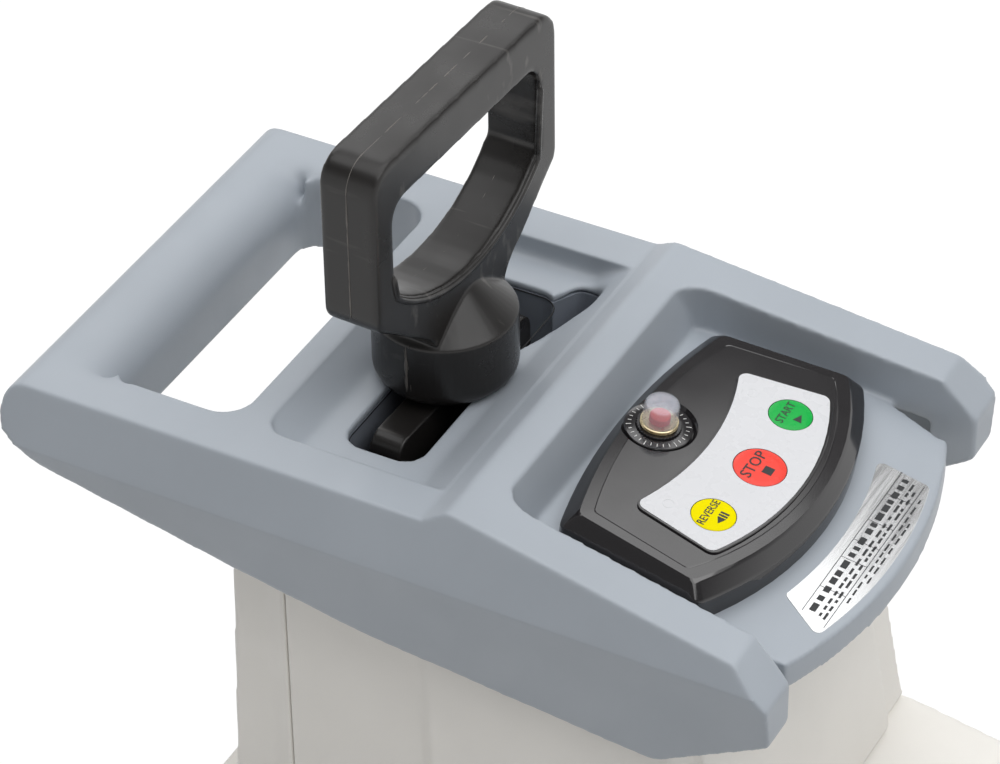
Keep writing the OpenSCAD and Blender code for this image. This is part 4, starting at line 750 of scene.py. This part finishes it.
# Text, height and width of each word
WORDS = {"start_button": ("START", 4.0, 15.0), "stop_button": ("STOP", 5.4, 18.6),
         "reverse_button": ("REVERSE", 3.8, 17.2)}
MARK_LOW, MARK_TOP = (BUTTON_TOP - 0.15) * MM, (BUTTON_TOP + 0.02) * MM
MARKS = {
    "start_button": [[(-2.4, -2.2), (-2.4, -6.4), (2.6, -4.3)]],
    "stop_button": [[(-2.4, -1.8), (-2.4, -6.4), (2.4, -6.4), (2.4, -1.8)]],
    "reverse_button": [[(0.2, -1.8), (0.2, -6.0), (-4.0, -3.9)],
                       [(0.9, -1.8), (0.9, -6.0), (2.0, -6.0), (2.0, -1.8)],
                       [(2.7, -1.8), (2.7, -6.0), (3.8, -6.0), (3.8, -1.8)]],
}
# Font size over the height of its capitals, and the words' rise over the buttons' middles
CAPITAL = 1.38
WORD_RISE = 0.8
INK_THICK, INK_SPREAD = 0.02 * MM, 0.05 * MM


def word(name, text, height, width, matrix, material):
    """Flat printed word of a given size, standing on the middle of a place, as a mesh."""
    curve = bpy.data.curves.new(name, "FONT")
    curve.body = text
    curve.align_x = "CENTER"
    curve.size = height * MM * CAPITAL
    curve.extrude = INK_THICK
    curve.offset = INK_SPREAD
    curve.resolution_u = 3
    obj = bpy.data.objects.new(name, curve)
    bpy.context.scene.collection.objects.link(obj)
    mesh = evaluated(obj)
    reach = max(abs(v.co.x) for v in mesh.vertices)
    mesh.transform(matrix @ Matrix.Scale(width * MM / 2 / reach, 4, (1, 0, 0)))
    return made(name, mesh, material, smooth=False)


for node, (x, y, r) in BUTTONS.items():
    spot = PANEL @ Matrix.Translation((x * MM, y * MM, 0))
    profile = [(r, -3.6), (r, 0.02), (r - 0.25, 0.14), (r * 0.7, 0.2), (r * 0.35, 0.23), (0.2, 0.24)]
    cap = lathe(node + "_cap", in_metres(profile), FINISH[SLOT[node]], spot, segments=64, sharp=50)
    settle(cap, node)
    text, height, width = WORDS[node]
    line = spot @ Matrix.Translation((0, WORD_RISE * MM, BUTTON_TOP * MM))
    settle(word(node + "_word", text, height, width, line, INK), node, replaces=False)
    for k, mark in enumerate(MARKS[node]):
        shape = plate("%s_mark_%d" % (node, k), in_metres(mark), MARK_LOW, MARK_TOP, INK, spot)
        settle(shape, node, replaces=False)

# Breaker: ring with a ticked dial, knurled collar, threaded nut, red button and milky boot
BREAKER = PANEL @ Matrix.Translation((0, BREAKER_Y * MM, 0))


def turned(name, profile, material, node, bored=False):
    """Turned piece of the breaker that stands for a node."""
    settle(lathe(name, in_metres(profile), material, BREAKER, segments=96, sharp=35, bored=bored), node)


dial = [(10, -3.55), (15.6, -3.55), (15.6, -2.2), (15.2, -1.8), (11.6, -1.4), (10, -1.4)]
turned("breaker_dial", dial, black, "breaker_ring")
TICKS = 30
TICK_R, TICK_HW = 12.4, 0.16
TICK_SHORT, TICK_LONG = 1.6, 2.4
TICKS_PER_LONG = 5
# Height of the dial cone's apex over the panel's frame, and the cone's slope
DIAL_APEX = -0.17
DIAL_SLOPE = math.radians(6.3)
tilt = Matrix.Translation((0, 0, DIAL_APEX * MM)) @ Matrix.Rotation(DIAL_SLOPE, 4, "Y")
ticks = []
for i in range(TICKS):
    turn = Matrix.Rotation(math.tau * i / TICKS, 4, "Z")
    end = TICK_R + (TICK_SHORT if i % TICKS_PER_LONG else TICK_LONG)
    tick = [(TICK_R, -TICK_HW), (end, -TICK_HW), (end, TICK_HW), (TICK_R, TICK_HW)]
    ticks.append(plate("tick", in_metres(tick), 0, 0.12 * MM, INK_WHITE, BREAKER @ turn @ tilt))
settle(joined("breaker_ticks", ticks), "breaker_ring", replaces=False)
KNURLS = 40
KNURL_R = (9.9, 10.5)
KNURL_LOW, KNURL_TOP = -1.5 * MM, -0.1 * MM
knurl = [(KNURL_R[i % 2] * math.cos(math.pi * i / KNURLS) * MM,
          KNURL_R[i % 2] * math.sin(math.pi * i / KNURLS) * MM) for i in range(2 * KNURLS)]
collar = plate("breaker_knurl", knurl, KNURL_LOW, KNURL_TOP, black, BREAKER, rim=0.3 * MM)
settle(collar, "breaker_ring", replaces=False)
NUT_BORE = 5.9
NUT_TOP = 1.9
THREADS = 3
THREAD_PITCH = 0.65
THREAD_ROOT, THREAD_CREST = 8.2, 8.6
threads = [(NUT_BORE, -0.1)]
for i in range(THREADS):
    z = THREAD_PITCH * i
    threads += [(THREAD_ROOT, z), (THREAD_CREST, z + 0.2),
                (THREAD_CREST, z + 0.35), (THREAD_ROOT, z + 0.5)]
threads += [(THREAD_ROOT - 0.1, NUT_TOP), (NUT_BORE, NUT_TOP)]
turned("breaker_thread", threads, FINISH["breaker_metal"], "breaker_nut")
cap = [(4.8, 1.4), (4.8, 4.2), (4.6, 4.8), (4.0, 5.2), (0.2, 5.25)]
turned("breaker_cap", cap, FINISH["button_red"], "breaker_button")
BOOT_TOP = 12
BOOT_BORE = 7.2
PINHOLE = 0.02
BOOT_ROOF = BOOT_TOP - 0.8
hood = [(BOOT_BORE, NUT_TOP), (8.0, NUT_TOP), (8.05, 2.9), (7.95, BOOT_TOP - 1.2),
        (7.6, BOOT_TOP - 0.4), (7.0, BOOT_TOP), (PINHOLE, BOOT_TOP), (PINHOLE, BOOT_ROOF),
        (6.7, BOOT_ROOF), (BOOT_BORE, BOOT_TOP - 1.4)]
turned("breaker_hood", hood, FINISH["clear_boot"], "breaker_boot", bored=True)

# Seam between the cover and the feed chute, round the slot
SEAM_Z = -22.1
SEAM_HW = 69.4
SEAM_FRONT, SEAM_BACK = 38.6, 76.4
slot_outline = between([(-SEAM_HW, SEAM_BACK), (SEAM_HW, SEAM_BACK)],
                       [(-SEAM_HW, SEAM_FRONT), (SEAM_HW, SEAM_FRONT)], 10)
seam = tube("chute_seam", at_height(slot_outline, SEAM_Z), 0.35 * MM, SEAM, HEAD, closed=True, sides=6)
settle(seam, "feed_chute", replaces=False)

# Rating plate: bare foil with rounded corners, and ruled bars in place of any text
DECK = HEAD @ Matrix.Translation((0, 0, DECK_Z)) @ Matrix.Rotation(math.atan(DECK_SLOPE), 4, "X")
NOSE_CENTRE = 65
PLATE_OUTER, PLATE_INNER = 226.8, 201.5
PLATE_HALF, PLATE_SKEW = 14.6, 1.2
PLATE_LOW, PLATE_TOP = 0.02, 0.5


def deck_arc(radius, skew, steps=24):
    """Arc of the plate's edge about the nose's centre, as seen from above."""
    angles = [math.radians(PLATE_HALF * (2 * i / steps - 1) + skew) for i in range(steps + 1)]
    return [(radius * math.sin(a), NOSE_CENTRE - radius * math.cos(a)) for a in angles]


def on_deck(outline):
    """Outline seen from above, in millimetres, laid on the sloping deck in metres."""
    rise = math.hypot(1, DECK_SLOPE)
    return [(x * MM, y * rise * MM) for x, y in outline]


def bar(x0, y0, x1, y1):
    """Printed bar of the plate between two corners."""
    outline = on_deck([(x0, y0), (x1, y0), (x1, y1), (x0, y1)])
    return plate("rule", outline, (PLATE_TOP - 0.2) * MM, (PLATE_TOP + 0.02) * MM, INK, DECK)


plate_outline = between(deck_arc(PLATE_INNER, PLATE_SKEW), deck_arc(PLATE_OUTER, -PLATE_SKEW), 3)
sticker = plate("rating_foil", on_deck(plate_outline), PLATE_LOW * MM, PLATE_TOP * MM,
                FINISH["label_silver"], DECK, rim=0.12 * MM)
settle(sticker, "rating_plate")
RULE = 0.35
TABLE_BACK, TABLE_FRONT = -141, -153.4
LONG_RULES = [(-51, 54, TABLE_BACK), (-55.5, 51, TABLE_FRONT)]
DIVIDERS = (-33, -11, 2, 17, 37)
rules = [bar(start, y, end, y - RULE) for start, end, y in LONG_RULES]
rules += [bar(x, TABLE_BACK, x + RULE, TABLE_FRONT) for x in DIVIDERS]
# Back edge, height, start and end of each row of bars
ROWS = [(-143.4, 3.0, -49, 50), (-148.4, 1.2, -50, 48), (-150.8, 1.2, -51, 46),
        (-155.2, 0.9, -36, 40), (-157.4, 0.9, -20, 26)]
BAR_LENGTH = (2.0, 5.5)
BAR_GAP = (1.2, 3.2)
for y, height, x, stop in ROWS:
    while x < stop:
        length = chance.uniform(*BAR_LENGTH)
        rules.append(bar(x, y, x + length, y - height))
        x += length + chance.uniform(*BAR_GAP)
settle(joined("rating_rules", rules), "rating_plate", replaces=False)


# Stage: pale floor, soft overhead light, white surroundings

def light_path(tree, names):
    """One for the named kinds of ray."""
    path = tree.nodes.new("ShaderNodeLightPath")
    total = path.outputs[names[0]]
    for name in names[1:]:
        total = calculated(tree, "MAXIMUM", total, path.outputs[name])
    return total


def switch(tree, factor, off, on):
    """Value that goes from off to on with the factor."""
    node = tree.nodes.new("ShaderNodeMix")
    for socket, value in zip(node.inputs[0:1] + node.inputs[2:4], (factor, off, on)):
        put(tree, socket, value)
    return node.outputs[0]


# Strength of the surroundings as light, and of what shiny pieces see of them, level and overhead
FILL = 0.29
LEVEL, CEILING = 1.0, 0.2
# Sine of the height above the horizon where the one begins to turn into the other, and where it ends
LEVEL_SINE, CEILING_SINE = 0.25, 0.6
world = bpy.data.worlds.new("studio")
bpy.context.scene.world = world
world.use_nodes = True
tree = world.node_tree
back = tree.nodes["Background"]
back.inputs["Color"].default_value = (1, 1, 1, 1)
split = tree.nodes.new("ShaderNodeSeparateXYZ")
tree.links.new(tree.nodes.new("ShaderNodeTexCoord").outputs["Generated"], split.inputs[0])
ceiling = map_range(tree, split.outputs["Z"], LEVEL_SINE, CEILING_SINE, LEVEL, CEILING)
shiny = light_path(tree, ["Is Glossy Ray", "Is Transmission Ray"])
seen = light_path(tree, ["Is Camera Ray"])
strength = switch(tree, seen, switch(tree, shiny, FILL, ceiling), 1.0)
tree.links.new(strength, back.inputs["Strength"])

FLOOR_HALF = 6.0
FLOOR_TONES = ((0.86, 0.86, 0.86, 1), (0.9, 0.9, 0.9, 1))
FLOOR_CLOUDS = 3.0
FLOOR_GLOW = 1.12
# Distances from the part's middle between which the floor turns into plain glow, and its share there
NEAR, FAR = 1.0, 2.2
NEAR_SHARE, FAR_SHARE = 0.75, 1.0
floor = from_faces("floor", [(-FLOOR_HALF, -FLOOR_HALF, 0), (FLOOR_HALF, -FLOOR_HALF, 0),
                             (FLOOR_HALF, FLOOR_HALF, 0), (-FLOOR_HALF, FLOOR_HALF, 0)],
                   [(0, 1, 2, 3)], bpy.data.materials.new("floor"), smooth=False)
paint = floor.data.materials[0]
paint.use_nodes = True
tree = paint.node_tree
cloud = tree.nodes.new("ShaderNodeTexNoise")
cloud.inputs["Scale"].default_value = FLOOR_CLOUDS
dull = tree.nodes.new("ShaderNodeBsdfDiffuse")
tree.links.new(mixed(tree, cloud.outputs["Fac"], *FLOOR_TONES), dull.inputs["Color"])
glow = tree.nodes.new("ShaderNodeEmission")
glow.inputs["Strength"].default_value = FLOOR_GLOW
reach = tree.nodes.new("ShaderNodeVectorMath")
reach.operation = "LENGTH"
tree.links.new(tree.nodes.new("ShaderNodeNewGeometry").outputs["Position"], reach.inputs[0])
share = map_range(tree, reach.outputs["Value"], NEAR, FAR, NEAR_SHARE, FAR_SHARE)
seen = light_path(tree, ["Is Camera Ray", "Is Glossy Ray", "Is Transmission Ray"])
blend = tree.nodes.new("ShaderNodeMixShader")
tree.links.new(calculated(tree, "MULTIPLY", seen, share), blend.inputs["Fac"])
tree.links.new(dull.outputs[0], blend.inputs[1])
tree.links.new(glow.outputs[0], blend.inputs[2])
tree.links.new(blend.outputs[0], tree.nodes["Material Output"].inputs["Surface"])


def softbox(name, place, turn, size, power):
    """Rectangular light that faces straight down, turned about the vertical."""
    lamp = bpy.data.lights.new(name, "AREA")
    lamp.shape = "RECTANGLE"
    lamp.size, lamp.size_y = size
    lamp.energy = power
    obj = bpy.data.objects.new(name, lamp)
    bpy.context.scene.collection.objects.link(obj)
    obj.matrix_world = Matrix.Translation(place) @ Matrix.Rotation(math.radians(turn), 4, "Z")


# The overhead one's far corner shows in the glossy panel and in the rating plate
SOFTBOX_TURN = -28
softbox("overhead", (0.141, -0.456, 3.0), SOFTBOX_TURN, size=(3.0, 3.6), power=62)
softbox("front", (0.1, -1.75, 2.9), SOFTBOX_TURN, size=(2.6, 1.2), power=10)
softbox("rear", (2.1, 1.95, 3.0), SOFTBOX_TURN, size=(2.4, 1.3), power=22)


# Camera: the photograph's close view of the head from its left front

CAMERA_PLACE = Vector((-1.3293, -0.6795, 1.9798))
CAMERA_AZIMUTH = math.radians(-61.129)
CAMERA_HEIGHT = math.radians(38.280)
CAMERA_ROLL = math.radians(-0.875)
FOCAL_PIXELS = 4298
IMAGE_WIDTH = 1000
SENSOR_WIDTH = 36

lens = bpy.data.cameras.new("camera")
lens.sensor_width = SENSOR_WIDTH
lens.lens = FOCAL_PIXELS * SENSOR_WIDTH / IMAGE_WIDTH
camera = bpy.data.objects.new("camera", lens)
bpy.context.scene.collection.objects.link(camera)
away = Vector((math.sin(CAMERA_AZIMUTH) * math.cos(CAMERA_HEIGHT),
               -math.cos(CAMERA_AZIMUTH) * math.cos(CAMERA_HEIGHT), math.sin(CAMERA_HEIGHT)))
right = Vector((math.cos(CAMERA_AZIMUTH), math.sin(CAMERA_AZIMUTH), 0))
up = away.cross(right)
turned_right = math.cos(CAMERA_ROLL) * right + math.sin(CAMERA_ROLL) * up
turned_up = math.cos(CAMERA_ROLL) * up - math.sin(CAMERA_ROLL) * right
axes = Matrix((turned_right, turned_up, away)).transposed()
camera.matrix_world = Matrix.Translation(CAMERA_PLACE) @ axes.to_4x4()
bpy.context.scene.camera = camera

bpy.context.scene.view_settings.view_transform = "Standard"
